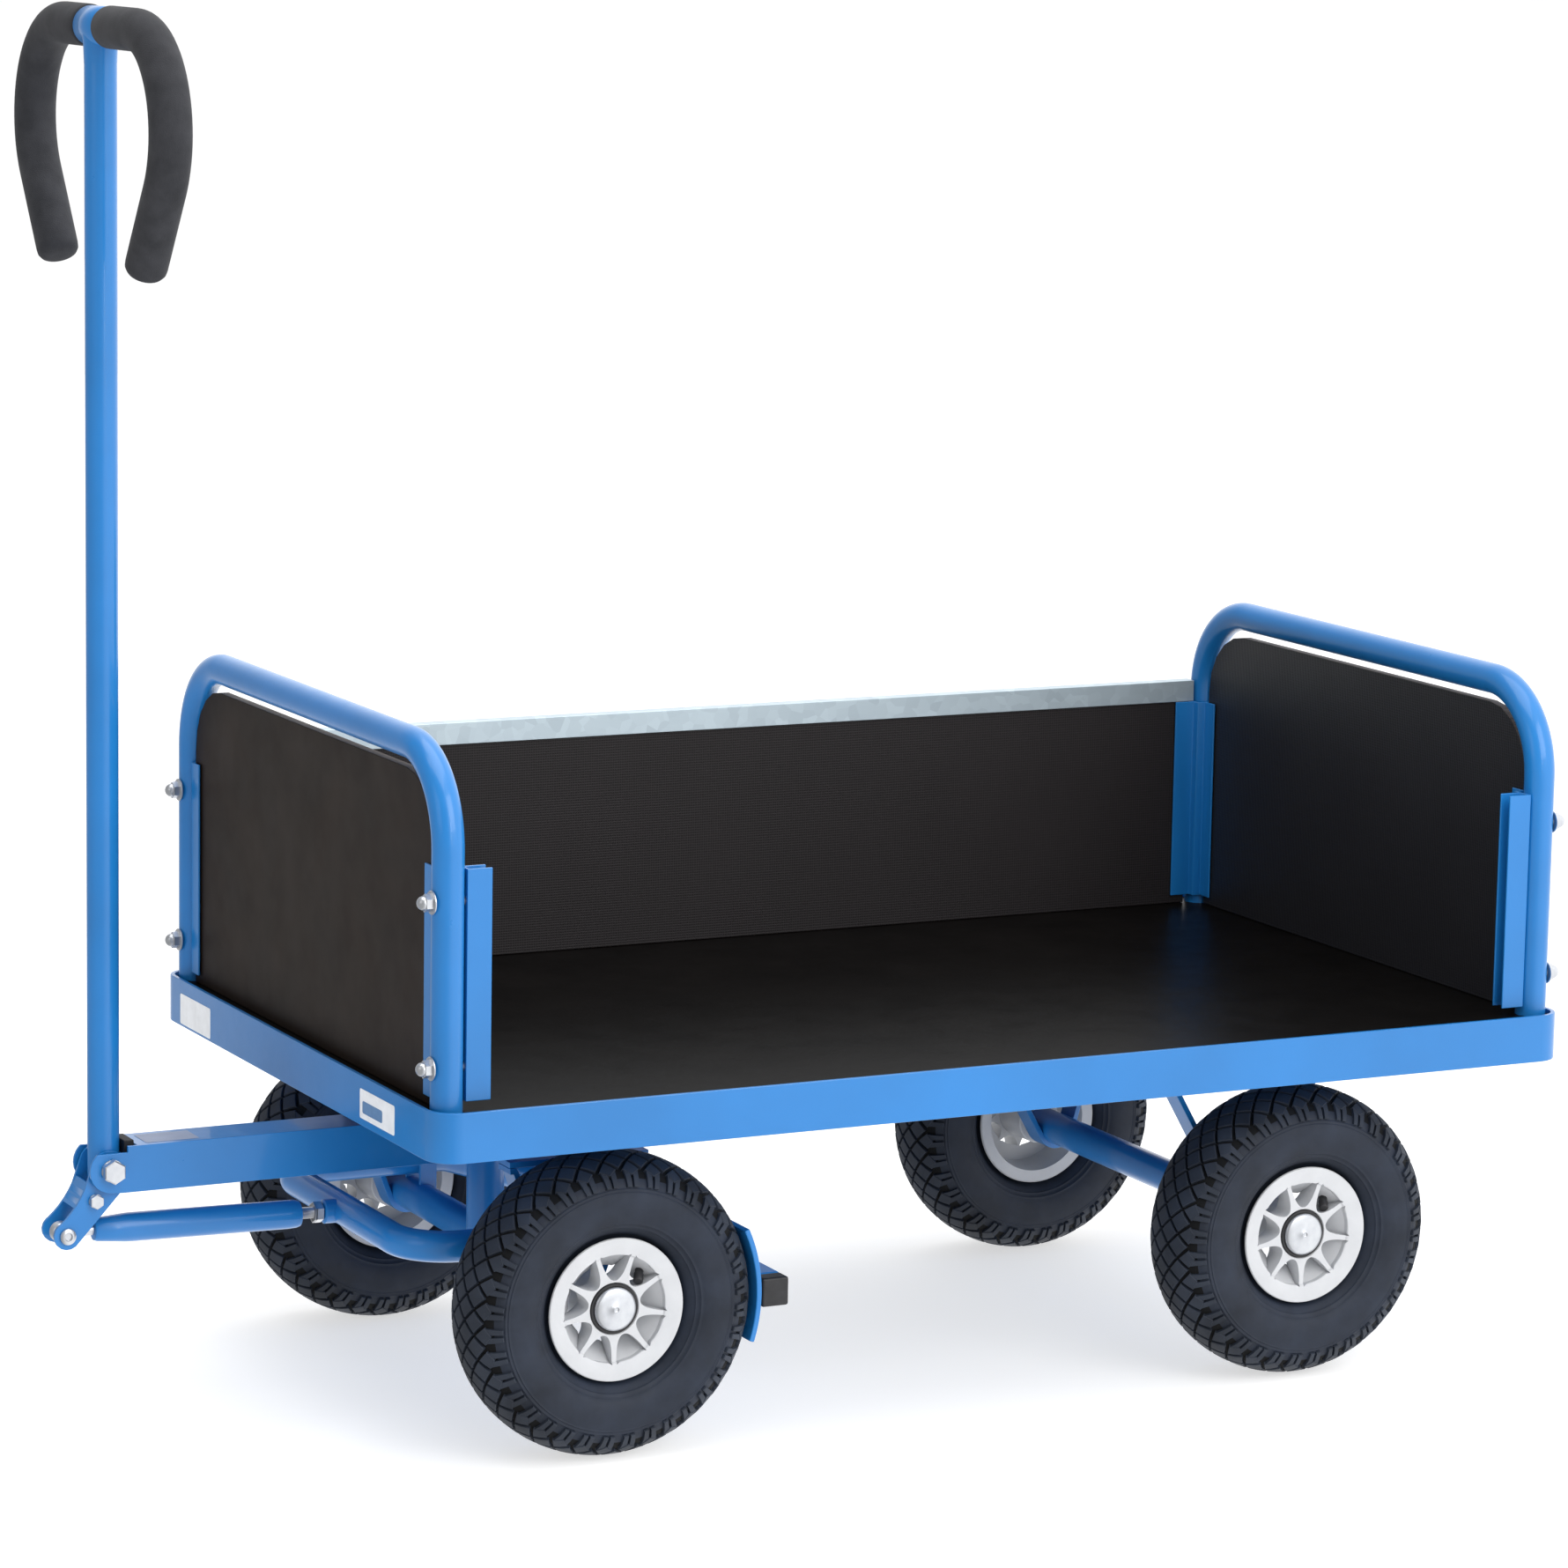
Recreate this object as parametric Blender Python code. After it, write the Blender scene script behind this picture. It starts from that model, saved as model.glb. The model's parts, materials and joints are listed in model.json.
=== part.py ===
"""Four-wheeled drawbar hand cart: a steel platform with two end hoops, one lift-out side wall, a steered
front bogie, and a spring-raised drawbar whose lever works a brake on the front tyres.

Frame: +X forward (towards the drawbar), +Y left, +Z up, ground at Z = 0. The design is laid out from the
middle of the platform, and the parent empty moves all of it so that the middle of the whole cart lies at X = 0.
"""

import math

import bmesh
import bpy
import numpy as np
from mathutils import Matrix, Vector

# Gap between pieces that touch on the real cart, and how far a cutter runs past what it cuts.
GAP = 0.0003
CUT_PAST = 0.010

# Platform frame and deck.
FRAME_LENGTH = 1.092
FRAME_WIDTH = 0.638
FRAME_HEIGHT = 0.042
FRAME_CLEARANCE = 0.018
FRAME_WALL = 0.004
FRAME_CORNER = 0.025
LEDGE_WIDTH = 0.045
DECK_THICKNESS = 0.012
DECK_RECESS = 0.0035
DECK_PLAY = 0.001
RAIL_INSET = 0.132
RAIL_WIDTH = 0.036
CROSS_PLATE = 0.006
LEG_PLAY = 0.0006

# End hoops, their panels and the side wall.
HOOP_TUBE = 0.0270
HOOP_WALL = 0.0020
HOOP_END_MARGIN = 0.0065
HOOP_SIDE_MARGIN = 0.0135
HOOP_HEIGHT = 0.289
HOOP_BEND = 0.078
PANEL_THICKNESS = 0.009
PANEL_SLOT = 0.007
WALL_THICKNESS = 0.010
CAP_RAIL_HEIGHT = 0.0205
CAP_RAIL_SHEET = 0.0015

# Folded guide profiles on the posts, and the bolts that hold them.
PROFILE_SHEET = 0.002
PROFILE_LIFT = 0.005
PROFILE_HEIGHT = 0.192
PROFILE_SIDE_DEPTH = 0.022
PROFILE_END_DEPTH = 0.018
PROFILE_PLAY = 0.001
BOLT_LIFTS = (0.033, 0.170)
BOLT_DIAMETER = 0.008
BOLT_PLAY = 0.0006
BOLT_HEAD = 0.003
BOLT_CROWN = 0.7
WASHER_RADIUS = 0.0100
WASHER_THICKNESS = 0.0016
NUT_RADIUS = 0.0072
NUT_HEIGHT = 0.0065
NUT_DOME = 0.0065
NUT_CROWN = 0.5

# Wheels and axles.
WHEEL_RADIUS = 0.130
TYRE_WIDTH = 0.085
TYRE_WALL = 0.008
TYRE_SIDE_WALL = 0.012
TYRE_BULGE_DEPTH = 0.042
TYRE_SHOULDER_DEPTH = 0.016
TYRE_SHOULDER_INSET = 0.003
TYRE_CROWN_INSET = 0.020
TYRE_AIR_INSET = 0.026
RIM_RADIUS = 0.0615
RIM_LIP = 0.008
RIM_BARREL = 0.005
RIM_WIDTH = 0.064
RIM_FLANGE = 0.003
SPOKES = 9
SPOKE_THICKNESS = 0.006
SPOKE_INNER = -0.008
SPOKE_OUTER = 0.024
HUB_RADIUS = 0.0215
HUB_INNER = -0.036
HUB_OUTER = 0.026
BUSH_RADIUS = 0.0155
SPINDLE_RADIUS = 0.010
SPINDLE_END = 0.0275
CAP_RADIUS = 0.0186
CAP_HEIGHT = 0.006
CAP_EDGE = 0.0024
CAP_CROWN = 0.55
FRONT_WHEEL_INSET = 0.182
REAR_WHEEL_INSET = 0.239
WHEEL_SIDE_INSET = 0.074
AXLE_RADIUS = 0.015
AXLE_END_INSET = 0.040
STRAP_WIDTH = 0.025
STRAP_THICKNESS = 0.005
FRONT_STRAP_SLOPES = (69.0, 69.0)
FRONT_STRAP_FLANGE = 0.005
REAR_STRAP_SLOPES = (60.0, 74.0)
REAR_STRAP_FLANGE = 0.026
POST_RADIUS = 0.0165
BOLSTER_THICKNESS = 0.005
BOLSTER_INSET = 0.001

# Turntable between the frame and the bogie.
RING_OUTER = 0.125
RING_INNER = 0.095
RING_THICKNESS = 0.0115
CAGE_THICKNESS = 0.0095
CAGE_MARGIN = 0.004

# Tow beam and drawbar.
BEAM_HEIGHT = 0.040
BEAM_WALL = 0.003
BEAM_TAIL = 0.102
PIVOT_REACH = 0.170
EAR_PLAY = 0.0027
EAR_RADIUS = 0.0195
EAR_TOP = 0.0145
EAR_STEP = 0.0140
BEAM_TOP_END = 0.023
BEAM_BOTTOM_END = 0.050
DRAWBAR_TUBE = 0.0270
DRAWBAR_WALL = 0.0025
DRAWBAR_FOOT = 0.0095
HANDLE_Z = 1.180
HANDLE_HALF = 0.165
HANDLE_BEND = 0.080
HANDLE_TURN = 34.0
HANDLE_DROP = 0.190
HANDLE_CORE = 0.009
SADDLE_RADIUS = 0.0165
SADDLE_HALF = 0.020
GRIP_RADIUS = 0.0177
GRIP_START_Y = 0.023
GRIP_ROUNDING = 0.006
GRIP_TIP_SHARE = 0.7
PIVOT_BOLT_RADIUS = 0.006
PIVOT_HEAD_RADIUS = 0.0104
PIVOT_HEAD = 0.008
STOP_BOTTOM = 0.0105
STOP_TOP = 0.023

# Brake lever at the drawbar's foot, push rod, bow, bar and shoes.
LEVER_SHEET = 0.003
LEVER_KNEE = (0.013, -0.026)
LEVER_TIP = (0.0377, -0.0545)
LEVER_HEEL = (-0.010, -0.020)
LEVER_RADIUS = 0.0160
LEVER_TIP_RADIUS = 0.0118
LEVER_CURVE = 0.0817
LEVER_CURVE_CENTRE = (0.0965, 0.0180)
LEVER_CURVE_START = 200.0
LEVER_CURVE_END = 230.0
LEVER_TIP_END = -128.0
LEVER_WEB = 0.003
LEVER_WEB_END = 217.0
KNEE_BOLT_RADIUS = 0.004
KNEE_HEAD_RADIUS = 0.0065
KNEE_HEAD = 0.0055
TIP_SCREW_RADIUS = 0.004
TIP_HEAD_RADIUS = 0.0070
TIP_HEAD = 0.0030
TIP_CROWN = 0.85
ROD_EYE_RADIUS = 0.0090
ROD_EYE_WIDTH = 0.010
ROD_STUD_RADIUS = 0.005
ROD_TUBE_RADIUS = 0.0125
ROD_TUBE_FRONT = 0.028
ROD_TUBE_REAR = 0.0125
ROD_FRONT_TAPER = 0.030
ROD_FRONT_SHARE = 0.80
ROD_REAR_TAPER = 0.010
ROD_REAR_SHARE = 0.92
ROD_NUT_RADIUS = 0.0095
ROD_NUT_LENGTH = 0.009
BOW_TUBE = 0.0270
BOW_WALL = 0.0025
BOW_REACH = 0.132
BOW_LIFT = 0.035
BOW_ARM_INSET = 0.032
BOW_BEND = 0.046
BOW_DROP_REACH = 0.026
BOW_END_LIFT = 0.006
BOW_END_LENGTH = 0.020
BOSS_RADIUS = 0.0105
BOSS_REACH = 0.0210
GUIDE_SETBACK = 0.004
GUIDE_LENGTH = 0.016
GUIDE_WALL = 0.004
GUIDE_PLAY = 0.0006
BAR_SIZE = 0.025
BAR_OVERHANG = 0.012
BAR_CAP = 0.018
SHOE_THICKNESS = 0.005
SHOE_WIDTH = 0.060
SHOE_ANGLE_UP = 25.0
SHOE_ANGLE_DOWN = 18.0
SHOE_PLAY = 0.0008

# Facets of round pieces.
WHEEL_FACETS = 24
HUB_FACETS = 14
TUBE_FACETS = 10
BOLT_FACETS = 8
CORE_FACETS = 8
EAR_FACETS = 24
SHAFT_FACETS = 12
BEND_STEPS = 5

# Levels and places that follow from the sizes above.
FRAME_BOTTOM = 2 * WHEEL_RADIUS + FRAME_CLEARANCE
FRAME_TOP = FRAME_BOTTOM + FRAME_HEIGHT
DECK_TOP = FRAME_TOP - DECK_RECESS
DECK_BOTTOM = DECK_TOP - DECK_THICKNESS
LEDGE_TOP = DECK_BOTTOM - GAP
LEDGE_BOTTOM = LEDGE_TOP - FRAME_WALL
HOOP_X = FRAME_LENGTH / 2 - HOOP_END_MARGIN - HOOP_TUBE / 2
HOOP_Y = FRAME_WIDTH / 2 - HOOP_SIDE_MARGIN - HOOP_TUBE / 2
HOOP_RAIL_Z = FRAME_TOP + HOOP_HEIGHT
HOOP_RADIUS = HOOP_TUBE / 2
RAIL_Y = FRAME_WIDTH / 2 - RAIL_INSET
PROFILE_BOTTOM = FRAME_TOP + PROFILE_LIFT
PROFILE_TOP = PROFILE_BOTTOM + PROFILE_HEIGHT
PROFILE_WEB = HOOP_RADIUS + GAP
BOLT_HEIGHTS = tuple(FRAME_TOP + lift for lift in BOLT_LIFTS)
BOLT_HEAD_RADIUS = WALL_THICKNESS / 2 + PROFILE_PLAY - GAP
NUT_REACH = PROFILE_WEB + WASHER_THICKNESS + NUT_HEIGHT + NUT_DOME
PANEL_HALF = HOOP_Y - PROFILE_WEB - PROFILE_SHEET - PROFILE_PLAY
PANEL_BOTTOM = DECK_TOP + GAP
PANEL_TOP = HOOP_RAIL_Z - HOOP_RADIUS - PANEL_SLOT
WALL_HALF = HOOP_X - PROFILE_WEB - PROFILE_SHEET - BOLT_HEAD - PROFILE_PLAY
RIM_SEAT = RIM_RADIUS - RIM_LIP
RIM_BORE = RIM_SEAT - RIM_BARREL
FRONT_WHEEL_X = FRAME_LENGTH / 2 - FRONT_WHEEL_INSET
REAR_WHEEL_X = REAR_WHEEL_INSET - FRAME_LENGTH / 2
WHEEL_Y = FRAME_WIDTH / 2 - WHEEL_SIDE_INSET
AXLE_HALF = WHEEL_Y - AXLE_END_INSET
BOLSTER_HALF = RAIL_Y + STRAP_WIDTH / 2 - BOLSTER_INSET
UPPER_RING_BOTTOM = FRAME_BOTTOM - GAP - RING_THICKNESS
CAGE_BOTTOM = UPPER_RING_BOTTOM - GAP - CAGE_THICKNESS
LOWER_RING_BOTTOM = CAGE_BOTTOM - GAP - RING_THICKNESS
BEAM_TOP = LOWER_RING_BOTTOM - GAP
BEAM_BOTTOM = BEAM_TOP - BEAM_HEIGHT
BEAM_REAR_X = FRONT_WHEEL_X - BEAM_TAIL
BEAM_WIDTH = DRAWBAR_TUBE + 2 * (GAP + LEVER_SHEET + EAR_PLAY + BEAM_WALL)
PIVOT_X = FRAME_LENGTH / 2 + PIVOT_REACH
PIVOT_Z = BEAM_TOP - BEAM_HEIGHT / 2
STRAP_RADIUS = AXLE_RADIUS + 0.4 * STRAP_THICKNESS
TIP_X = PIVOT_X + LEVER_TIP[0]
TIP_Z = PIVOT_Z + LEVER_TIP[1]
HANDLE_END_Z = HANDLE_Z - HANDLE_DROP
BOW_FRONT_X = FRONT_WHEEL_X + BOW_REACH
BOW_DROP_X = FRONT_WHEEL_X - BOW_DROP_REACH
BOW_ARM_Y = RAIL_Y - BOW_ARM_INSET
BOW_Z = WHEEL_RADIUS + BOW_LIFT
BOW_END_Z = WHEEL_RADIUS + BOW_END_LIFT
GUIDE_X = FRONT_WHEEL_X - GUIDE_SETBACK
BAR_HALF = WHEEL_Y + BAR_OVERHANG
SHOE_INNER = WHEEL_RADIUS + SHOE_PLAY
SHOE_BACK_X = FRONT_WHEEL_X - SHOE_INNER - SHOE_THICKNESS
BAR_X = SHOE_BACK_X - GAP - BAR_SIZE / 2
CENTRE_X = (TIP_X + LEVER_TIP_RADIUS - HOOP_X - NUT_REACH) / 2

# Where each body turns or slides, from the middle of the platform.
BODY_ORIGINS = {
    "platform": (0.0, 0.0, FRAME_TOP),
    "side_wall": (0.0, -HOOP_Y, DECK_TOP),
    "bogie": (FRONT_WHEEL_X, 0.0, CAGE_BOTTOM),
    "drawbar": (PIVOT_X, 0.0, PIVOT_Z),
    "brake": (BAR_X, 0.0, WHEEL_RADIUS),
    "front_left_wheel": (FRONT_WHEEL_X, WHEEL_Y, WHEEL_RADIUS),
    "front_right_wheel": (FRONT_WHEEL_X, -WHEEL_Y, WHEEL_RADIUS),
    "rear_left_wheel": (REAR_WHEEL_X, WHEEL_Y, WHEEL_RADIUS),
    "rear_right_wheel": (REAR_WHEEL_X, -WHEEL_Y, WHEEL_RADIUS),
}
BODY_PARENTS = {
    "platform": None,
    "side_wall": "platform",
    "bogie": "platform",
    "drawbar": "bogie",
    "brake": "bogie",
    "front_left_wheel": "bogie",
    "front_right_wheel": "bogie",
    "rear_left_wheel": "platform",
    "rear_right_wheel": "platform",
}
ENDS = (("front", 1), ("rear", -1))
SIDES = (("left", 1), ("right", -1))


# ---------------------------------------------------------------- scene and materials


def clear_scene():
    """Removes what a new Blender file holds."""
    for obj in list(bpy.data.objects):
        bpy.data.objects.remove(obj)


def material(name, colour, roughness, metallic):
    """A Principled material with one colour, roughness and metallic value."""
    made = bpy.data.materials.new(name)
    made.use_nodes = True
    shader = made.node_tree.nodes["Principled BSDF"]
    shader.inputs["Base Color"].default_value = (*colour, 1.0)
    shader.inputs["Roughness"].default_value = roughness
    shader.inputs["Metallic"].default_value = metallic
    return made


def make_materials():
    """The cart's materials by name."""
    return {
        "blue_paint": material("blue_paint", (0.060, 0.220, 0.560), 0.32, 0.0),
        "film_board": material("film_board", (0.020, 0.018, 0.018), 0.50, 0.0),
        "mesh_board": material("mesh_board", (0.032, 0.027, 0.030), 0.60, 0.0),
        "galvanised": material("galvanised", (0.560, 0.600, 0.620), 0.38, 1.0),
        "zinc": material("zinc", (0.700, 0.710, 0.720), 0.25, 1.0),
        "rubber": material("rubber", (0.025, 0.025, 0.028), 0.80, 0.0),
        "foam": material("foam", (0.045, 0.045, 0.047), 0.90, 0.0),
        "rim_plastic": material("rim_plastic", (0.560, 0.570, 0.580), 0.45, 0.0),
        "black_plastic": material("black_plastic", (0.020, 0.020, 0.022), 0.55, 0.0),
        "ring_steel": material("ring_steel", (0.250, 0.260, 0.280), 0.45, 1.0),
    }


def make_bodies():
    """One parent empty for each body, on its joint's axis, all carried by one empty at the cart's middle."""
    root = bpy.data.objects.new("cart", None)
    root.location = (-CENTRE_X, 0.0, 0.0)
    bpy.context.scene.collection.objects.link(root)
    empties = {}
    for body, parent in BODY_PARENTS.items():
        empty = bpy.data.objects.new("body_" + body, None)
        bpy.context.scene.collection.objects.link(empty)
        carrier = empties[parent] if parent else root
        carrier_place = Vector(BODY_ORIGINS[parent]) if parent else Vector()
        empty.parent = carrier
        empty.location = Vector(BODY_ORIGINS[body]) - carrier_place
        empties[body] = empty
    return empties


def add_node(name, mesh, body, finish, place=None):
    """Adds one piece. Its mesh is in platform coordinates, or is a shared mesh that stands at place."""
    origin = Vector(BODY_ORIGINS[body])
    obj = bpy.data.objects.new(name, mesh)
    bpy.context.scene.collection.objects.link(obj)
    obj.parent = BODIES[body]
    if place is None:
        mesh.transform(Matrix.Translation(-origin))
    else:
        obj.matrix_local = Matrix.Translation(-origin) @ place
    if not mesh.materials:
        mesh.materials.append(MATERIALS[finish])
    mesh.shade_smooth()
    mesh.set_sharp_from_angle(angle=math.radians(35))
    return obj


# ---------------------------------------------------------------- shapes


def mesh_from(points, faces):
    """A mesh from points and faces, with its faces turned outwards."""
    bm = bmesh.new()
    made = [bm.verts.new(point) for point in points]
    for face in faces:
        bm.faces.new([made[index] for index in face])
    bmesh.ops.recalc_face_normals(bm, faces=bm.faces)
    mesh = bpy.data.meshes.new("shape")
    bm.to_mesh(mesh)
    bm.free()
    return mesh


def prism(outline, axis, low, high):
    """An outline pushed along X, Y or Z. It is given as (y, z), (x, z) or (x, y)."""
    def point(pair, level):
        values = list(pair)
        values.insert("XYZ".index(axis), level)
        return values

    count = len(outline)
    points = [point(pair, low) for pair in outline] + [point(pair, high) for pair in outline]
    faces = [tuple(range(count)), tuple(range(count, 2 * count))]
    for index in range(count):
        after = (index + 1) % count
        faces.append((index, after, after + count, index + count))
    return mesh_from(points, faces)


def box(x_range, y_range, z_range):
    """A plain block between two values on each axis."""
    x0, x1 = x_range
    y0, y1 = y_range
    return prism([(x0, y0), (x1, y0), (x1, y1), (x0, y1)], "Z", *z_range)


def arc(centre, radius, start, end, steps):
    """Points of an arc in degrees, both ends included."""
    angles = np.radians(np.linspace(start, end, steps + 1))
    return [(centre[0] + radius * math.cos(a), centre[1] + radius * math.sin(a)) for a in angles]


def circle(centre, radius, facets):
    """A closed circle's points."""
    return arc(centre, radius, 0.0, 360.0, facets)[:-1]


def rounded_rectangle(half_x, half_y, radius, steps):
    """A rectangle with four round corners, about the origin."""
    outline = []
    for turn, (sx, sy) in enumerate(((1, 1), (-1, 1), (-1, -1), (1, -1))):
        centre = (sx * (half_x - radius), sy * (half_y - radius))
        outline += arc(centre, radius, 90.0 * turn, 90.0 * turn + 90.0, steps)
    return outline


def hull(points):
    """The convex outline of a set of flat points."""
    ordered = sorted(set(points))

    def half(source):
        chain = []
        for point in source:
            while len(chain) > 1 and turn_of(chain[-2], chain[-1], point) <= 0:
                chain.pop()
            chain.append(point)
        return chain[:-1]

    return half(ordered) + half(ordered[::-1])


def turn_of(a, b, c):
    """Positive where the way a, b, c turns left."""
    return (b[0] - a[0]) * (c[1] - a[1]) - (b[1] - a[1]) * (c[0] - a[0])


def revolve(profile, facets):
    """A profile of (radius, along) turned about Y. One that starts and ends on the axis is closed there."""
    on_axis = profile[0][0] == 0.0
    rows = profile[1:-1] if on_axis else profile
    angles = [2 * math.pi * step / facets - math.pi / 2 for step in range(facets)]
    points = [(r * math.cos(a), along, r * math.sin(a)) for r, along in rows for a in angles]
    faces = []
    spans = len(rows) - 1 if on_axis else len(rows)
    for row in range(spans):
        base, above = row * facets, ((row + 1) % len(rows)) * facets
        for step in range(facets):
            after = (step + 1) % facets
            faces.append((base + step, base + after, above + after, above + step))
    if on_axis:
        faces.append(tuple(range(facets)))
        faces.append(tuple(range((len(rows) - 1) * facets, len(rows) * facets)))
    return mesh_from(points, faces)


def turned(mesh, rotation, place):
    """A mesh turned and then moved, in place."""
    mesh.transform(Matrix.Translation(place) @ rotation)
    return mesh


def path_rings(path, radius, facets):
    """Circles of points square to a path, each kept in line with the one before."""
    centres = [Vector(point) for point in path]
    ways = [(b - a).normalized() for a, b in zip(centres, centres[1:])]
    rings = []
    side = ways[0].orthogonal().normalized()
    for index, centre in enumerate(centres):
        before = ways[max(index - 1, 0)]
        after = ways[min(index, len(ways) - 1)]
        way = (before + after).normalized()
        stretch = 1.0 / max(before.dot(way), 0.5)
        side = (side - way * side.dot(way)).normalized()
        across = way.cross(side)
        bend = after - before
        ring = []
        for step in range(facets):
            angle = 2 * math.pi * step / facets
            offset = side * math.cos(angle) + across * math.sin(angle)
            if bend.length > 1e-6:
                inward = (bend - way * bend.dot(way)).normalized()
                offset += inward * offset.dot(inward) * (stretch - 1.0)
            ring.append(tuple(centre + offset * radius))
        rings.append(ring)
    return rings


def skin(rings, capped_start, capped_end):
    """Points and faces of a run of rings with the same number of points."""
    count = len(rings[0])
    points = [point for ring in rings for point in ring]
    faces = []
    for row in range(len(rings) - 1):
        for step in range(count):
            after = (step + 1) % count
            base = row * count
            faces.append((base + step, base + after, base + count + after, base + count + step))
    if capped_start:
        faces.append(tuple(range(count)))
    if capped_end:
        faces.append(tuple(range(len(points) - count, len(points))))
    return points, faces


def rod(path, radius, facets=TUBE_FACETS):
    """A solid round bar along a path."""
    points, faces = skin(path_rings(path, radius, facets), True, True)
    return mesh_from(points, faces)


def pipe(path, radius, wall, facets=TUBE_FACETS):
    """A hollow tube along a path, open at both ends."""
    outer, outer_faces = skin(path_rings(path, radius, facets), False, False)
    inner, inner_faces = skin(path_rings(path, radius - wall, facets), False, False)
    shift = len(outer)
    faces = outer_faces + [tuple(index + shift for index in face) for face in inner_faces]
    for start in (0, shift - facets):
        for step in range(facets):
            after = (step + 1) % facets
            faces.append((start + step, start + after, start + after + shift, start + step + shift))
    return mesh_from(outer + inner, faces)


def bent_path(corners, radius, steps=BEND_STEPS):
    """A path through corners, each rounded by an arc of one radius."""
    corners = [Vector(corner) for corner in corners]
    path = [corners[0]]
    for before, corner, after in zip(corners, corners[1:], corners[2:]):
        back = (before - corner).normalized()
        ahead = (after - corner).normalized()
        half = back.angle(ahead) / 2
        centre = corner + (back + ahead).normalized() * (radius / math.sin(half))
        start = corner + back * (radius / math.tan(half)) - centre
        axis = ahead.cross(back)
        for step in range(steps + 1):
            path.append(centre + Matrix.Rotation((math.pi - 2 * half) * step / steps, 3, axis) @ start)
    path.append(corners[-1])
    return path


def combined(base, tools, operation):
    """One mesh from a base and the meshes that are joined to it or cut from it."""
    body = bpy.data.objects.new("work", base)
    bpy.context.scene.collection.objects.link(body)
    helpers = []
    for tool in tools:
        helper = bpy.data.objects.new("tool", tool)
        helper.hide_render = True
        helper.display_type = "WIRE"
        bpy.context.scene.collection.objects.link(helper)
        step = body.modifiers.new("combine", "BOOLEAN")
        step.object = helper
        step.operation = operation
        step.solver = "EXACT"
        helpers.append(helper)
    graph = bpy.context.evaluated_depsgraph_get()
    result = bpy.data.meshes.new_from_object(body.evaluated_get(graph))
    for helper in helpers + [body]:
        bpy.data.objects.remove(helper)
    return result


def joined(meshes):
    """The union of overlapping meshes."""
    return combined(meshes[0], meshes[1:], "UNION")


def cut(base, cutters):
    """A mesh with others cut away."""
    return combined(base, cutters, "DIFFERENCE")


def clear_of(radius, facets):
    """The radius of a faceted hole that a round piece of one radius turns in freely."""
    return (radius + GAP) / math.cos(math.pi / facets)


def cylinder(axis, centre, radius, length, facets=BOLT_FACETS):
    """A round bar of one length about a centre, along X, Y or Z."""
    half = {"X": (length / 2, 0, 0), "Y": (0, length / 2, 0), "Z": (0, 0, length / 2)}[axis]
    middle = Vector(centre)
    return rod([middle - Vector(half), middle + Vector(half)], radius, facets)


# ---------------------------------------------------------------- platform


def platform_frame():
    """The skirt, the ledge under the deck, the long rails and the plates over the turntable and rear axle."""
    half_x, half_y = FRAME_LENGTH / 2, FRAME_WIDTH / 2
    skirt = prism(rounded_rectangle(half_x, half_y, FRAME_CORNER, 5), "Z", FRAME_BOTTOM, FRAME_TOP)
    inner_radius = FRAME_CORNER - FRAME_WALL
    inner = rounded_rectangle(half_x - FRAME_WALL, half_y - FRAME_WALL, inner_radius, 5)
    above = prism(inner, "Z", LEDGE_TOP, FRAME_TOP + CUT_PAST)
    below = prism(inner, "Z", FRAME_BOTTOM - CUT_PAST, LEDGE_BOTTOM)
    window_x, window_y = half_x - FRAME_WALL - LEDGE_WIDTH, half_y - FRAME_WALL - LEDGE_WIDTH
    window_z = (LEDGE_BOTTOM - CUT_PAST, LEDGE_TOP + CUT_PAST)
    window = box((-window_x, window_x), (-window_y, window_y), window_z)
    ring = cut(skirt, [above, below, window])
    return joined([ring] + frame_rails() + frame_plates())


def frame_rails():
    """Two long channel rails, open above, from end to end under the ledge, that the axle straps hang from."""
    reach = FRAME_LENGTH / 2 - FRAME_WALL / 2
    level = LEDGE_BOTTOM + FRAME_WALL / 2
    floor = FRAME_BOTTOM + FRAME_WALL
    rails = []
    for side in (1, -1):
        near, far = RAIL_Y - RAIL_WIDTH / 2, RAIL_Y + RAIL_WIDTH / 2
        outline = [(near, FRAME_BOTTOM), (far, FRAME_BOTTOM), (far, level), (far - FRAME_WALL, level)]
        outline += [(far - FRAME_WALL, floor), (near + FRAME_WALL, floor), (near + FRAME_WALL, level)]
        outline.append((near, level))
        rails.append(prism([(side * y, z) for y, z in outline], "X", -reach, reach))
    return rails


def frame_plates():
    """The cross plate that the turntable is bolted to, and one over the rear axle."""
    reach = FRAME_WIDTH / 2 - FRAME_WALL / 2
    levels = (FRAME_BOTTOM, FRAME_BOTTOM + CROSS_PLATE)
    front = box((FRONT_WHEEL_X - RING_OUTER, FRONT_WHEEL_X + RING_OUTER), (-reach, reach), levels)
    rear = box((REAR_WHEEL_X - RAIL_WIDTH, REAR_WHEEL_X + RAIL_WIDTH), (-reach, reach), levels)
    return [front, rear]


def deck_board():
    """The load board inside the skirt, with a round hole for each hoop leg."""
    play = FRAME_WALL + DECK_PLAY
    outline = rounded_rectangle(FRAME_LENGTH / 2 - play, FRAME_WIDTH / 2 - play, FRAME_CORNER - play, 5)
    board = prism(outline, "Z", DECK_BOTTOM, DECK_TOP)
    holes = []
    for end in (1, -1):
        for side in (1, -1):
            centre = (end * HOOP_X, side * HOOP_Y, DECK_TOP)
            holes.append(cylinder("Z", centre, HOOP_RADIUS + LEG_PLAY, 4 * DECK_THICKNESS, TUBE_FACETS))
    return cut(board, holes)


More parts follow.
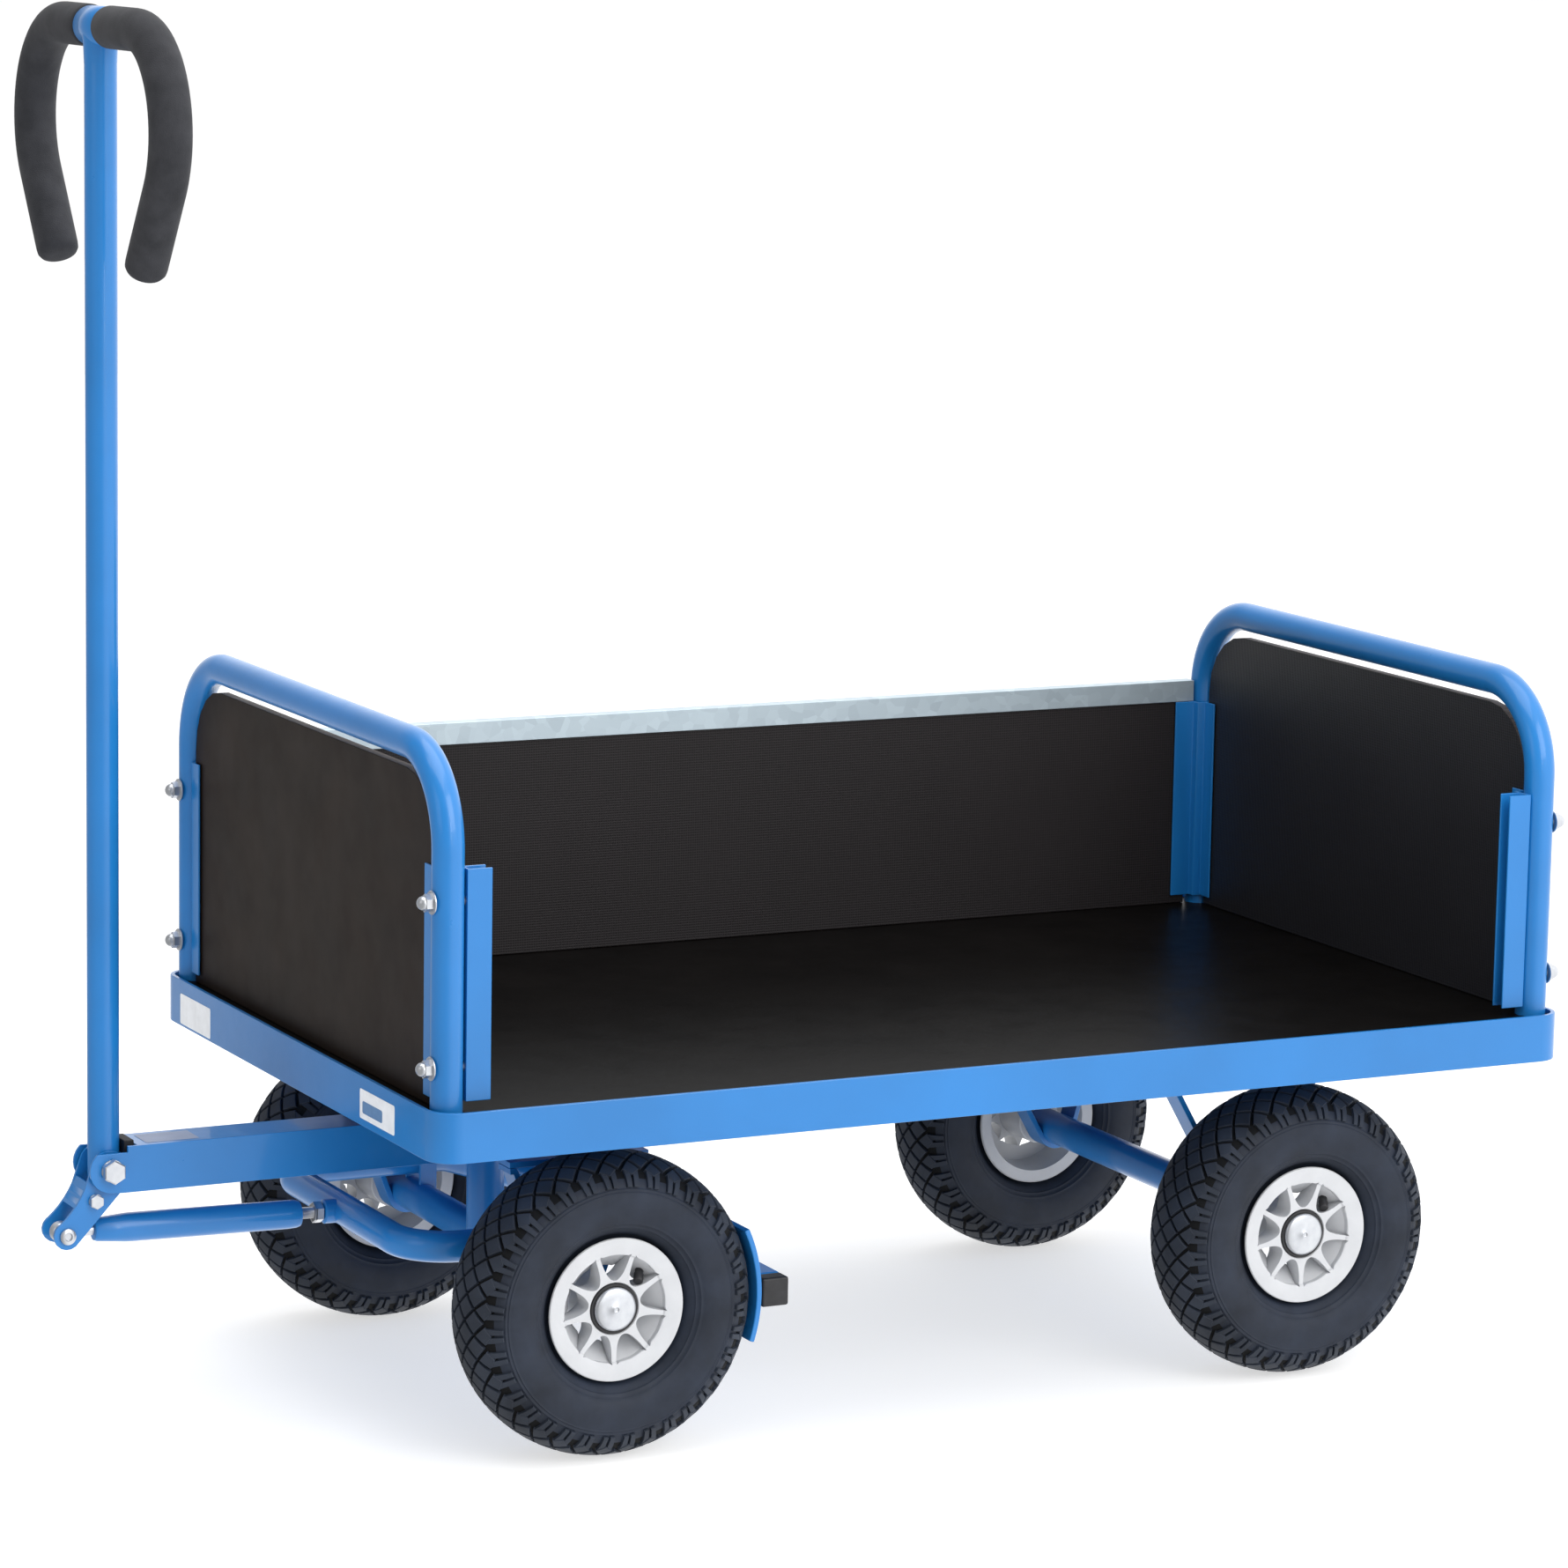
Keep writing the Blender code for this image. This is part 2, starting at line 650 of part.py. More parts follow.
def hoop(end):
    """One end hoop: two legs and a top rail from one bent tube, drilled for the post bolts."""
    x = end * HOOP_X
    corners = [
        (x, -HOOP_Y, LEDGE_TOP + GAP),
        (x, -HOOP_Y, HOOP_RAIL_Z),
        (x, HOOP_Y, HOOP_RAIL_Z),
        (x, HOOP_Y, LEDGE_TOP + GAP),
    ]
    tube = pipe(bent_path(corners, HOOP_BEND), HOOP_RADIUS, HOOP_WALL)
    hole = BOLT_DIAMETER / 2 + BOLT_PLAY
    drills = []
    for side in (1, -1):
        for height in BOLT_HEIGHTS:
            drills.append(cylinder("X", (x, side * HOOP_Y, height), hole, 2 * HOOP_TUBE))
    return cut(tube, drills)


def end_panel(end):
    """The board that fills one hoop, with round top corners that follow the bends."""
    radius = PANEL_HALF - (HOOP_Y - HOOP_BEND)
    outline = [(PANEL_HALF, PANEL_BOTTOM)]
    outline += arc((PANEL_HALF - radius, PANEL_TOP - radius), radius, 0.0, 90.0, BEND_STEPS)
    outline += arc((radius - PANEL_HALF, PANEL_TOP - radius), radius, 90.0, 180.0, BEND_STEPS)
    outline.append((-PANEL_HALF, PANEL_BOTTOM))
    low = end * HOOP_X - PANEL_THICKNESS / 2
    return prism(outline, "X", low, low + PANEL_THICKNESS)


def post_profile():
    """The folded guide on the front left post: a channel for a side wall and one for the end panel."""
    web, sheet = PROFILE_WEB, PROFILE_SHEET
    side_half = WALL_THICKNESS / 2 + PROFILE_PLAY
    end_half = PANEL_THICKNESS / 2 + PROFILE_PLAY
    levels = (PROFILE_BOTTOM, PROFILE_TOP)
    side_reach = -web - PROFILE_SIDE_DEPTH
    end_reach = -web - PROFILE_END_DEPTH
    outer_side, outer_end = side_half + sheet, end_half + sheet
    outline = [
        (-web, outer_side),
        (side_reach, outer_side),
        (side_reach, side_half),
        (-web - sheet, side_half),
        (-web - sheet, -side_half),
        (side_reach, -side_half),
        (side_reach, -outer_side),
        (-web - sheet, -outer_side),
        (-web - sheet, -web - sheet),
        (-outer_end, -web - sheet),
        (-outer_end, end_reach),
        (-end_half, end_reach),
        (-end_half, -web - sheet),
        (end_half, -web - sheet),
        (end_half, end_reach),
        (outer_end, end_reach),
        (outer_end, -web),
        (-web, -web),
    ]
    folded = prism(outline, "Z", *levels)
    hole = BOLT_DIAMETER / 2 + BOLT_PLAY
    drills = [cylinder("X", (-web, 0, height), hole, 6 * sheet) for height in BOLT_HEIGHTS]
    return cut(folded, drills)


def post_bolt():
    """A round-head bolt along X with its washer and dome nut, about the axis of a front post."""
    inner = -PROFILE_WEB - PROFILE_SHEET - GAP
    outer = PROFILE_WEB
    shank = BOLT_DIAMETER / 2
    nut = outer + WASHER_THICKNESS + NUT_HEIGHT
    profile = [(0.0, inner - BOLT_HEAD), (BOLT_HEAD_RADIUS * BOLT_CROWN, inner - BOLT_HEAD)]
    profile += [(BOLT_HEAD_RADIUS, inner), (shank, inner), (shank, outer), (WASHER_RADIUS, outer)]
    profile += [(WASHER_RADIUS, outer + WASHER_THICKNESS), (NUT_RADIUS, outer + WASHER_THICKNESS)]
    profile += [(NUT_RADIUS, nut), (NUT_RADIUS * NUT_CROWN, nut + NUT_DOME), (0.0, nut + NUT_DOME)]
    return turned(revolve(profile, BOLT_FACETS), Matrix.Rotation(-math.pi / 2, 4, "Z"), Vector())


def side_wall_panel():
    """The lift-out board on the right side."""
    low = -HOOP_Y - WALL_THICKNESS / 2
    top = PROFILE_TOP + CAP_RAIL_HEIGHT - CAP_RAIL_SHEET
    return box((-WALL_HALF, WALL_HALF), (low, low + WALL_THICKNESS), (PANEL_BOTTOM, top))


def side_wall_cap_rail():
    """The folded cap on the side wall's top edge, from post to post."""
    reach = HOOP_X - HOOP_RADIUS - 2 * PROFILE_PLAY
    half = WALL_THICKNESS / 2 + GAP
    outer = half + CAP_RAIL_SHEET
    bottom = PROFILE_TOP + GAP
    top = PROFILE_TOP + CAP_RAIL_HEIGHT
    under = top - CAP_RAIL_SHEET + GAP
    outline = [(-outer, bottom), (-half, bottom), (-half, under), (half, under)]
    outline += [(half, bottom), (outer, bottom), (outer, top + GAP), (-outer, top + GAP)]
    placed = [(y - HOOP_Y, z) for y, z in outline]
    return prism(placed, "X", -reach, reach)


def build_platform():
    """The frame, deck, hoops, panels, guides and post bolts."""
    add_node("platform_frame", platform_frame(), "platform", "blue_paint")
    add_node("deck_board", deck_board(), "platform", "film_board")
    profile, bolt = post_profile(), post_bolt()
    for end_name, end in ENDS:
        add_node(end_name + "_hoop", hoop(end), "platform", "blue_paint")
        add_node(end_name + "_panel", end_panel(end), "platform", "film_board")
        for side_name, side in SIDES:
            corner = end_name + "_" + side_name
            post = Matrix.Translation((end * HOOP_X, side * HOOP_Y, 0.0))
            facing = mirrored(profile, end, side)
            add_node("post_profile_" + corner, facing, "platform", "blue_paint", post)
            turn = Matrix.Rotation(0.0 if end > 0 else math.pi, 4, "Z")
            for level, height in zip(("lower", "upper"), BOLT_HEIGHTS):
                place = post @ Matrix.Translation((0.0, 0.0, height)) @ turn
                add_node("post_bolt_" + corner + "_" + level, bolt, "platform", "zinc", place)
    add_node("side_wall_panel", side_wall_panel(), "side_wall", "mesh_board")
    add_node("side_wall_cap_rail", side_wall_cap_rail(), "side_wall", "galvanised")


def mirrored(mesh, end, side):
    """A copy of a mesh with its X or Y turned over, still facing outwards."""
    copy = mesh.copy()
    copy.transform(Matrix.Diagonal((end, side, 1.0, 1.0)))
    if end * side < 0:
        copy.flip_normals()
    return copy


# ---------------------------------------------------------------- wheels and axles


def tyre():
    """A pneumatic tyre about the Y axis: tread, side walls and an air space that is open to the rim."""
    half = TYRE_WIDTH / 2
    bead_half = RIM_WIDTH / 2 - RIM_FLANGE - GAP
    seat = RIM_SEAT + GAP
    outer = [(seat, bead_half), (RIM_RADIUS + GAP, bead_half), (WHEEL_RADIUS - TYRE_BULGE_DEPTH, half)]
    outer.append((WHEEL_RADIUS - TYRE_SHOULDER_DEPTH, half - TYRE_SHOULDER_INSET))
    outer.append((WHEEL_RADIUS, half - TYRE_CROWN_INSET))
    inner = [(seat, bead_half - TYRE_WALL), ((seat + WHEEL_RADIUS) / 2, half - TYRE_SIDE_WALL)]
    inner.append((WHEEL_RADIUS - TYRE_WALL, half - TYRE_AIR_INSET))
    across = outer + [(r, -along) for r, along in reversed(outer)]
    back = [(r, -along) for r, along in inner] + list(reversed(inner))
    return revolve(across + back, WHEEL_FACETS)


def rim():
    """A moulded rim about the Y axis, its outer face at +Y: barrel, hub and flat spokes."""
    half = RIM_WIDTH / 2
    flange = half - RIM_FLANGE
    barrel = [(RIM_RADIUS, half), (RIM_RADIUS, flange), (RIM_SEAT, flange), (RIM_SEAT, -flange)]
    barrel += [(RIM_RADIUS, -flange), (RIM_RADIUS, -half), (RIM_BORE, -half), (RIM_BORE, half)]
    hub = [(HUB_RADIUS, HUB_INNER), (BUSH_RADIUS + GAP, HUB_INNER)]
    hub += [(BUSH_RADIUS + GAP, HUB_OUTER), (HUB_RADIUS, HUB_OUTER)]
    spokes = []
    for index in range(SPOKES):
        angle = 2 * math.pi * index / SPOKES
        start, end = (HUB_RADIUS + BUSH_RADIUS) / 2 + GAP, (RIM_BORE + RIM_SEAT) / 2
        half_spoke = SPOKE_THICKNESS / 2
        spoke = box((start, end), (SPOKE_INNER, SPOKE_OUTER), (-half_spoke, half_spoke))
        spokes.append(turned(spoke, Matrix.Rotation(angle, 4, "Y"), Vector()))
    return joined([revolve(barrel, WHEEL_FACETS), revolve(hub, HUB_FACETS)] + spokes)


def wheel_bush():
    """The bearing sleeve between the hub and the spindle."""
    inner = SPINDLE_RADIUS + GAP
    profile = [(BUSH_RADIUS, HUB_INNER), (inner, HUB_INNER), (inner, HUB_OUTER), (BUSH_RADIUS, HUB_OUTER)]
    return revolve(profile, HUB_FACETS)


def axle_cap():
    """A push-on cap about the Y axis, over the spindle's end, its crown at +Y."""
    base = HUB_OUTER + GAP
    inner = SPINDLE_RADIUS + GAP
    under = SPINDLE_END + GAP
    profile = [(0.0, under), (inner, under), (inner, base), (CAP_RADIUS, base)]
    profile += [(CAP_RADIUS, base + CAP_EDGE), (CAP_CROWN * CAP_RADIUS, base + CAP_HEIGHT)]
    profile.append((0.0, base + CAP_HEIGHT))
    return revolve(profile, HUB_FACETS)


def band(path, thickness):
    """The outline of a flat bar of one thickness, bent along a path of flat points."""
    points = [Vector(point) for point in path]
    ways = [(after - before).normalized() for before, after in zip(points, points[1:])]
    left, right = [], []
    for index, point in enumerate(points):
        before, after = ways[max(index - 1, 0)], ways[min(index, len(ways) - 1)]
        way = (before + after).normalized()
        reach = thickness / 2 / before.dot(way)
        left.append(tuple(point + Vector((-way.y, way.x)) * reach))
        right.append(tuple(point - Vector((-way.y, way.x)) * reach))
    return left + right[::-1]


def strap_knee(top, slope):
    """How far from the axle a strap's leg of one slope meets its flange, which lies under a height."""
    angle = math.radians(slope)
    foot = WHEEL_RADIUS - STRAP_RADIUS * math.cos(angle)
    rise = top - STRAP_THICKNESS / 2 - foot
    return STRAP_RADIUS * math.sin(angle) + rise / math.tan(angle)


def strap(x, side, top, slopes, flange):
    """A flat bar bent under the axle tube, with a sloping leg before and behind it up to two flanges."""
    level = top - STRAP_THICKNESS / 2
    ahead, behind = strap_knee(top, slopes[0]), strap_knee(top, slopes[1])
    front = [(x + ahead + flange, level), (x + ahead, level)]
    bottom = arc((x, WHEEL_RADIUS), STRAP_RADIUS, slopes[0] - 90.0, -90.0 - slopes[1], 4)
    rear = [(x - behind, level), (x - behind - flange, level)]
    start = side * RAIL_Y - STRAP_WIDTH / 2
    return prism(band(front + bottom + rear, STRAP_THICKNESS), "Y", start, start + STRAP_WIDTH)


def axle(x, strap_top, slopes, flange):
    """One axle's pieces before they are welded: the tube, a spindle bar through it and two straps."""
    centre = (x, 0.0, WHEEL_RADIUS)
    spindle_length = 2 * (WHEEL_Y + SPINDLE_END)
    tube = cylinder("Y", centre, AXLE_RADIUS, 2 * AXLE_HALF, TUBE_FACETS)
    spindle = cylinder("Y", centre, SPINDLE_RADIUS, spindle_length, TUBE_FACETS)
    straps = [strap(x, side, strap_top, slopes, flange) for side in (1, -1)]
    return [tube, spindle] + straps


def rear_axle():
    """The fixed axle, hung under the frame's rails."""
    return joined(axle(REAR_WHEEL_X, FRAME_BOTTOM - GAP, REAR_STRAP_SLOPES, REAR_STRAP_FLANGE))


def front_axle():
    """The steered axle: its centre post under the tow beam, and a guide sleeve over it for each brake arm."""
    foot = (FRONT_WHEEL_X, 0.0, WHEEL_RADIUS)
    head = (FRONT_WHEEL_X, 0.0, BEAM_BOTTOM - GAP)
    post = rod([foot, head], POST_RADIUS)
    hole = BOW_TUBE / 2 + GUIDE_PLAY
    outer = hole + GUIDE_WALL
    guides, drills = [], []
    for side in (1, -1):
        y = side * BOW_ARM_Y
        outline = [(y + outer, WHEEL_RADIUS)]
        outline += arc((y, BOW_Z), outer, 0.0, 180.0, 6)
        outline.append((y - outer, WHEEL_RADIUS))
        guides.append(prism(outline, "X", GUIDE_X - GUIDE_LENGTH / 2, GUIDE_X + GUIDE_LENGTH / 2))
        drills.append(cylinder("X", (GUIDE_X, y, BOW_Z), hole, 3 * GUIDE_LENGTH, TUBE_FACETS))
    strap_top = BEAM_TOP - BOLSTER_THICKNESS - GAP
    pieces = axle(FRONT_WHEEL_X, strap_top, FRONT_STRAP_SLOPES, FRONT_STRAP_FLANGE)
    return cut(joined(pieces + [post] + guides), drills)


def build_wheels():
    """Both axles, and on each end a tyre, a rim, a bearing sleeve and a cap."""
    add_node("front_axle", front_axle(), "bogie", "blue_paint")
    add_node("rear_axle", rear_axle(), "platform", "blue_paint")
    shapes = {
        "tyre": (tyre(), "rubber"),
        "rim": (rim(), "rim_plastic"),
        "wheel_bearing": (wheel_bush(), "zinc"),
    }
    cap = axle_cap()
    for end_name, x, carrier in (("front", FRONT_WHEEL_X, "bogie"), ("rear", REAR_WHEEL_X, "platform")):
        for side_name, side in SIDES:
            corner = end_name + "_" + side_name
            turn = Matrix.Rotation(0.0 if side > 0 else math.pi, 4, "Z")
            place = Matrix.Translation((x, side * WHEEL_Y, WHEEL_RADIUS)) @ turn
            for kind, (mesh, finish) in shapes.items():
                add_node(kind + "_" + corner, mesh, corner + "_wheel", finish, place)
            add_node("axle_cap_" + corner, cap, carrier, "zinc", place)


# ---------------------------------------------------------------- turntable and tow beam


def flat_ring(bottom, thickness, margin=0.0):
    """A ring of the turntable, its axis upright through the front axle's middle."""
    inner, outer = RING_INNER + margin, RING_OUTER - margin
    profile = [(inner, 0.0), (outer, 0.0), (outer, thickness), (inner, thickness)]
    upright = Matrix.Rotation(math.pi / 2, 4, "X")
    return turned(revolve(profile, WHEEL_FACETS), upright, Vector((FRONT_WHEEL_X, 0.0, bottom)))


def tow_beam():
    """The box beam under the turntable, open in front, with round ears for the drawbar's pivot."""
    half = BEAM_WIDTH / 2
    corners = [(BEAM_REAR_X, BEAM_BOTTOM), (BEAM_REAR_X, BEAM_TOP)]
    front = [(PIVOT_X - EAR_RADIUS / 2, BEAM_BOTTOM), (PIVOT_X - EAR_RADIUS / 2, BEAM_TOP)]
    outline = hull(corners + front + circle((PIVOT_X, PIVOT_Z), EAR_RADIUS, EAR_FACETS))
    solid = prism(outline, "Y", -half, half)
    inside = half - BEAM_WALL
    far = PIVOT_X + 2 * EAR_RADIUS
    above, below = BEAM_TOP + CUT_PAST, BEAM_BOTTOM - CUT_PAST
    bore_z = (BEAM_BOTTOM + BEAM_WALL, BEAM_TOP - BEAM_WALL)
    bore = box((BEAM_REAR_X - CUT_PAST, far), (-inside, inside), bore_z)
    top_mouth = box((PIVOT_X - BEAM_TOP_END, far), (-inside, inside), (PIVOT_Z, above))
    low_mouth = box((PIVOT_X - BEAM_BOTTOM_END, far), (-inside, inside), (below, PIVOT_Z))
    drill = cylinder("Y", (PIVOT_X, 0.0, PIVOT_Z), PIVOT_BOLT_RADIUS + GAP, 2 * BEAM_WIDTH)
    step = box((PIVOT_X - EAR_STEP, far), (-BEAM_WIDTH, BEAM_WIDTH), (PIVOT_Z + EAR_TOP, above))
    beam = cut(solid, [bore, top_mouth, low_mouth, drill, step])
    return joined([beam, bolster(1), bolster(-1)])


def bolster(side):
    """The plate beside the beam, under the lower ring, that the front axle's strap hangs from."""
    strap_top = BEAM_TOP - BOLSTER_THICKNESS - GAP
    reach = strap_knee(strap_top, min(FRONT_STRAP_SLOPES)) + FRONT_STRAP_FLANGE
    near, far = sorted((side * (BEAM_WIDTH / 2 - BEAM_WALL / 2), side * BOLSTER_HALF))
    levels = (BEAM_TOP - BOLSTER_THICKNESS, BEAM_TOP)
    return box((FRONT_WHEEL_X - reach, FRONT_WHEEL_X + reach), (near, far), levels)


def cross_bolt(shank, head_radius, head, half_grip, place):
    """A bolt along Y with a hexagon head on the left and a nut on the right."""
    inner = half_grip + GAP
    outer = inner + head
    shaft = cylinder("Y", place, shank, 2 * inner + head, BOLT_FACETS)
    hexes = []
    for side in (1, -1):
        centre = Vector(place) + Vector((0.0, side * (inner + outer) / 2, 0.0))
        hexes.append(cylinder("Y", centre, head_radius, head, 6))
    return joined([shaft] + hexes)


def drawbar_stop():
    """The rubber block on the front edge of the beam's top wall that the upright drawbar leans on."""
    inside = DRAWBAR_TUBE / 2
    back = PIVOT_X - BEAM_TOP_END + GAP
    front = PIVOT_X - DRAWBAR_TUBE / 2 - GAP
    return box((back, front), (-inside, inside), (PIVOT_Z + STOP_BOTTOM, PIVOT_Z + STOP_TOP))


def build_bogie():
    """The turntable rings, the tow beam, its pivot bolt and its rubber stop."""
    cage = flat_ring(CAGE_BOTTOM, CAGE_THICKNESS, CAGE_MARGIN)
    add_node("turntable_upper_ring", flat_ring(UPPER_RING_BOTTOM, RING_THICKNESS), "platform", "ring_steel")
    add_node("turntable_ball_cage", cage, "bogie", "ring_steel")
    add_node("turntable_lower_ring", flat_ring(LOWER_RING_BOTTOM, RING_THICKNESS), "bogie", "ring_steel")
    add_node("tow_beam", tow_beam(), "bogie", "blue_paint")
    pivot = (PIVOT_X, 0.0, PIVOT_Z)
    bolt = cross_bolt(PIVOT_BOLT_RADIUS, PIVOT_HEAD_RADIUS, PIVOT_HEAD, BEAM_WIDTH / 2, pivot)
    add_node("drawbar_pivot_bolt", bolt, "bogie", "zinc")
    add_node("drawbar_stop", drawbar_stop(), "bogie", "rubber")


# ---------------------------------------------------------------- drawbar


def handle_half(side):
    """The middle line of one arm of the handle: out from the tube, round, and down towards the tube again."""
    centre_y, centre_z = HANDLE_HALF - HANDLE_BEND, HANDLE_Z - HANDLE_BEND
    turn = arc((centre_y, centre_z), HANDLE_BEND, 90.0, -HANDLE_TURN, 2 * BEND_STEPS)
    last_y, last_z = turn[-1]
    drop = last_z - HANDLE_END_Z
    end_y = last_y - drop * math.tan(math.radians(HANDLE_TURN))
    line = turn + [(end_y, HANDLE_END_Z)]
    return [(PIVOT_X, side * y, z) for y, z in line]


def shortened(line, cut_off):
    """A line of points whose last stretch is cut shorter."""
    last, before = Vector(line[-1]), Vector(line[-2])
    return line[:-1] + [tuple(last + (before - last).normalized() * cut_off)]


def drawbar_tube():
    """The upright tube, drilled for the pivot bolt, with the saddle and the bent bar of the handle."""
    foot = (PIVOT_X, 0.0, PIVOT_Z - DRAWBAR_FOOT)
    top = (PIVOT_X, 0.0, HANDLE_Z)
    tube = pipe([foot, top], DRAWBAR_TUBE / 2, DRAWBAR_WALL, SHAFT_FACETS)
    inset = GRIP_RADIUS - HANDLE_CORE
    core_path = shortened(handle_half(-1), inset)[::-1] + shortened(handle_half(1), inset)
    core = rod(core_path, HANDLE_CORE, CORE_FACETS)
    saddle = cylinder("Y", top, SADDLE_RADIUS, 2 * SADDLE_HALF, SHAFT_FACETS)
    drill = cylinder("Y", (PIVOT_X, 0.0, PIVOT_Z), clear_of(PIVOT_BOLT_RADIUS, BOLT_FACETS), 2 * DRAWBAR_TUBE)
    return cut(joined([tube, saddle, core]), [drill])


def grip(side):
    """One foam grip: a sleeve over an arm of the handle, closed and rounded at its lower end."""
    line = [Vector(point) for point in handle_half(side)]
    line.insert(0, Vector((PIVOT_X, side * GRIP_START_Y, HANDLE_Z)))
    way = (line[-1] - line[-2]).normalized()
    depth = GRIP_RADIUS - HANDLE_CORE
    bore_line = line[:-1] + [line[-1] - way * (depth - 2 * GAP)]
    outer = path_rings(line[:-1] + [line[-1] - way * GRIP_ROUNDING, line[-1]], GRIP_RADIUS, TUBE_FACETS)
    end_middle = line[-1]
    outer[-1] = [tuple(end_middle + (Vector(point) - end_middle) * GRIP_TIP_SHARE) for point in outer[-1]]
    inner = path_rings(bore_line, clear_of(HANDLE_CORE, CORE_FACETS), CORE_FACETS)
    sleeve = mesh_from(*skin(outer, True, True))
    past_mouth = Vector((0.0, -side * HANDLE_CORE, 0.0))
    inner.insert(0, [tuple(Vector(point) + past_mouth) for point in inner[0]])
    bore = mesh_from(*skin(inner, True, True))
    return cut(sleeve, [bore])


def lever_curve(radius, end):
    """An arc of the lever's hollow front edge, from beside the drawbar down towards the tip."""
    centre = (PIVOT_X + LEVER_CURVE_CENTRE[0], PIVOT_Z + LEVER_CURVE_CENTRE[1])
    return arc(centre, radius, LEVER_CURVE_START, end, 6)


def brake_lever():
    """Two cheeks beside the drawbar's foot, joined by a curved web. They turn with the drawbar."""
    inner = DRAWBAR_TUBE / 2 + GAP
    outer = inner + LEVER_SHEET
    heel = (PIVOT_X + LEVER_HEEL[0], PIVOT_Z + LEVER_HEEL[1])
    disc = circle((PIVOT_X, PIVOT_Z), LEVER_RADIUS, EAR_FACETS)
    upper = hull(disc + [heel, lever_curve(LEVER_CURVE, LEVER_CURVE_END)[1]])
    tip = arc((TIP_X, TIP_Z), LEVER_TIP_RADIUS, LEVER_CURVE_END - 180.0, LEVER_TIP_END, 8)
    lower = lever_curve(LEVER_CURVE, LEVER_CURVE_END) + tip + [heel, (PIVOT_X, PIVOT_Z)]
    shapes = []
    for side in (1, -1):
        levels = sorted((side * inner, side * outer))
        shapes.append(prism(upper, "Y", *levels))
        shapes.append(prism(lower, "Y", *levels))
    front = lever_curve(LEVER_CURVE, LEVER_WEB_END)
    back = lever_curve(LEVER_CURVE + LEVER_WEB, LEVER_WEB_END)
    shapes.append(prism(front + back[::-1], "Y", -outer, outer))
    knee = (PIVOT_X + LEVER_KNEE[0], 0.0, PIVOT_Z + LEVER_KNEE[1])
    drills = [
        cylinder("Y", (PIVOT_X, 0.0, PIVOT_Z), clear_of(PIVOT_BOLT_RADIUS, BOLT_FACETS), 2 * BEAM_WIDTH),
        cylinder("Y", knee, KNEE_BOLT_RADIUS + GAP, 2 * BEAM_WIDTH),
        cylinder("Y", (TIP_X, 0.0, TIP_Z), TIP_SCREW_RADIUS + GAP, 2 * BEAM_WIDTH),
    ]
    return cut(joined(shapes), drills)


def tip_screw(side):
    """A stub screw in one cheek at the lever's tip. It ends before the push rod's eye."""
    inner = ROD_EYE_WIDTH / 2 + GAP
    face = DRAWBAR_TUBE / 2 + LEVER_SHEET + 2 * GAP
    shank = TIP_SCREW_RADIUS
    profile = [(0.0, inner), (shank, inner), (shank, face), (TIP_HEAD_RADIUS, face)]
    profile += [(TIP_HEAD_RADIUS * TIP_CROWN, face + TIP_HEAD), (0.0, face + TIP_HEAD)]
    turn = Matrix.Rotation(0.0 if side > 0 else math.pi, 4, "Z")
    return turned(revolve(profile, BOLT_FACETS), turn, Vector((TIP_X, 0.0, TIP_Z)))


def build_drawbar():
    """The drawbar with its handle, grips, brake lever and the lever's bolts."""
    add_node("drawbar_tube", drawbar_tube(), "drawbar", "blue_paint")
    add_node("brake_lever", brake_lever(), "drawbar", "blue_paint")
    knee = (PIVOT_X + LEVER_KNEE[0], 0.0, PIVOT_Z + LEVER_KNEE[1])
    grip_half = DRAWBAR_TUBE / 2 + GAP + LEVER_SHEET
    bolt = cross_bolt(KNEE_BOLT_RADIUS, KNEE_HEAD_RADIUS, KNEE_HEAD, grip_half, knee)
    add_node("lever_bolt", bolt, "drawbar", "zinc")
    for side_name, side in SIDES:
        add_node("grip_" + side_name, grip(side), "drawbar", "foam")
        add_node("lever_screw_" + side_name, tip_screw(side), "drawbar", "zinc")


# ---------------------------------------------------------------- brake


def rod_point(distance):
    """A point on the push rod's axis, so far behind the lever's tip."""
    tip = Vector((TIP_X, 0.0, TIP_Z))
    way = (Vector((BOW_FRONT_X, 0.0, BOW_Z)) - tip).normalized()
    return tip + way * distance


def rod_length():
    """From the lever's tip to the middle of the bow's front."""
    return math.hypot(TIP_X - BOW_FRONT_X, TIP_Z - BOW_Z)


def push_rod_eye():
    """The rod end: an eye between the lever's cheeks and a stud into the tube."""
    eye = cylinder("Y", (TIP_X, 0.0, TIP_Z), ROD_EYE_RADIUS, ROD_EYE_WIDTH, 16)
    stud_ends = [rod_point(ROD_EYE_RADIUS / 2), rod_point(ROD_TUBE_FRONT - GAP)]
    stud = rod(stud_ends, ROD_STUD_RADIUS, BOLT_FACETS)
    return joined([eye, stud])


def push_rod_tube():
    """The push rod's tube, drawn in at both ends."""
    rear = rod_length() - BOSS_REACH - ROD_NUT_LENGTH - ROD_TUBE_REAR
    stations = [(ROD_TUBE_FRONT, ROD_FRONT_SHARE), (ROD_TUBE_FRONT + ROD_FRONT_TAPER, 1.0)]
    stations += [(rear - ROD_REAR_TAPER, 1.0), (rear, ROD_REAR_SHARE)]
    rings = path_rings([rod_point(distance) for distance, _ in stations], ROD_TUBE_RADIUS, TUBE_FACETS)
    for ring, (distance, share) in zip(rings, stations):
        middle = rod_point(distance)
        ring[:] = [tuple(middle + (Vector(point) - middle) * share) for point in ring]
    return mesh_from(*skin(rings, True, True))


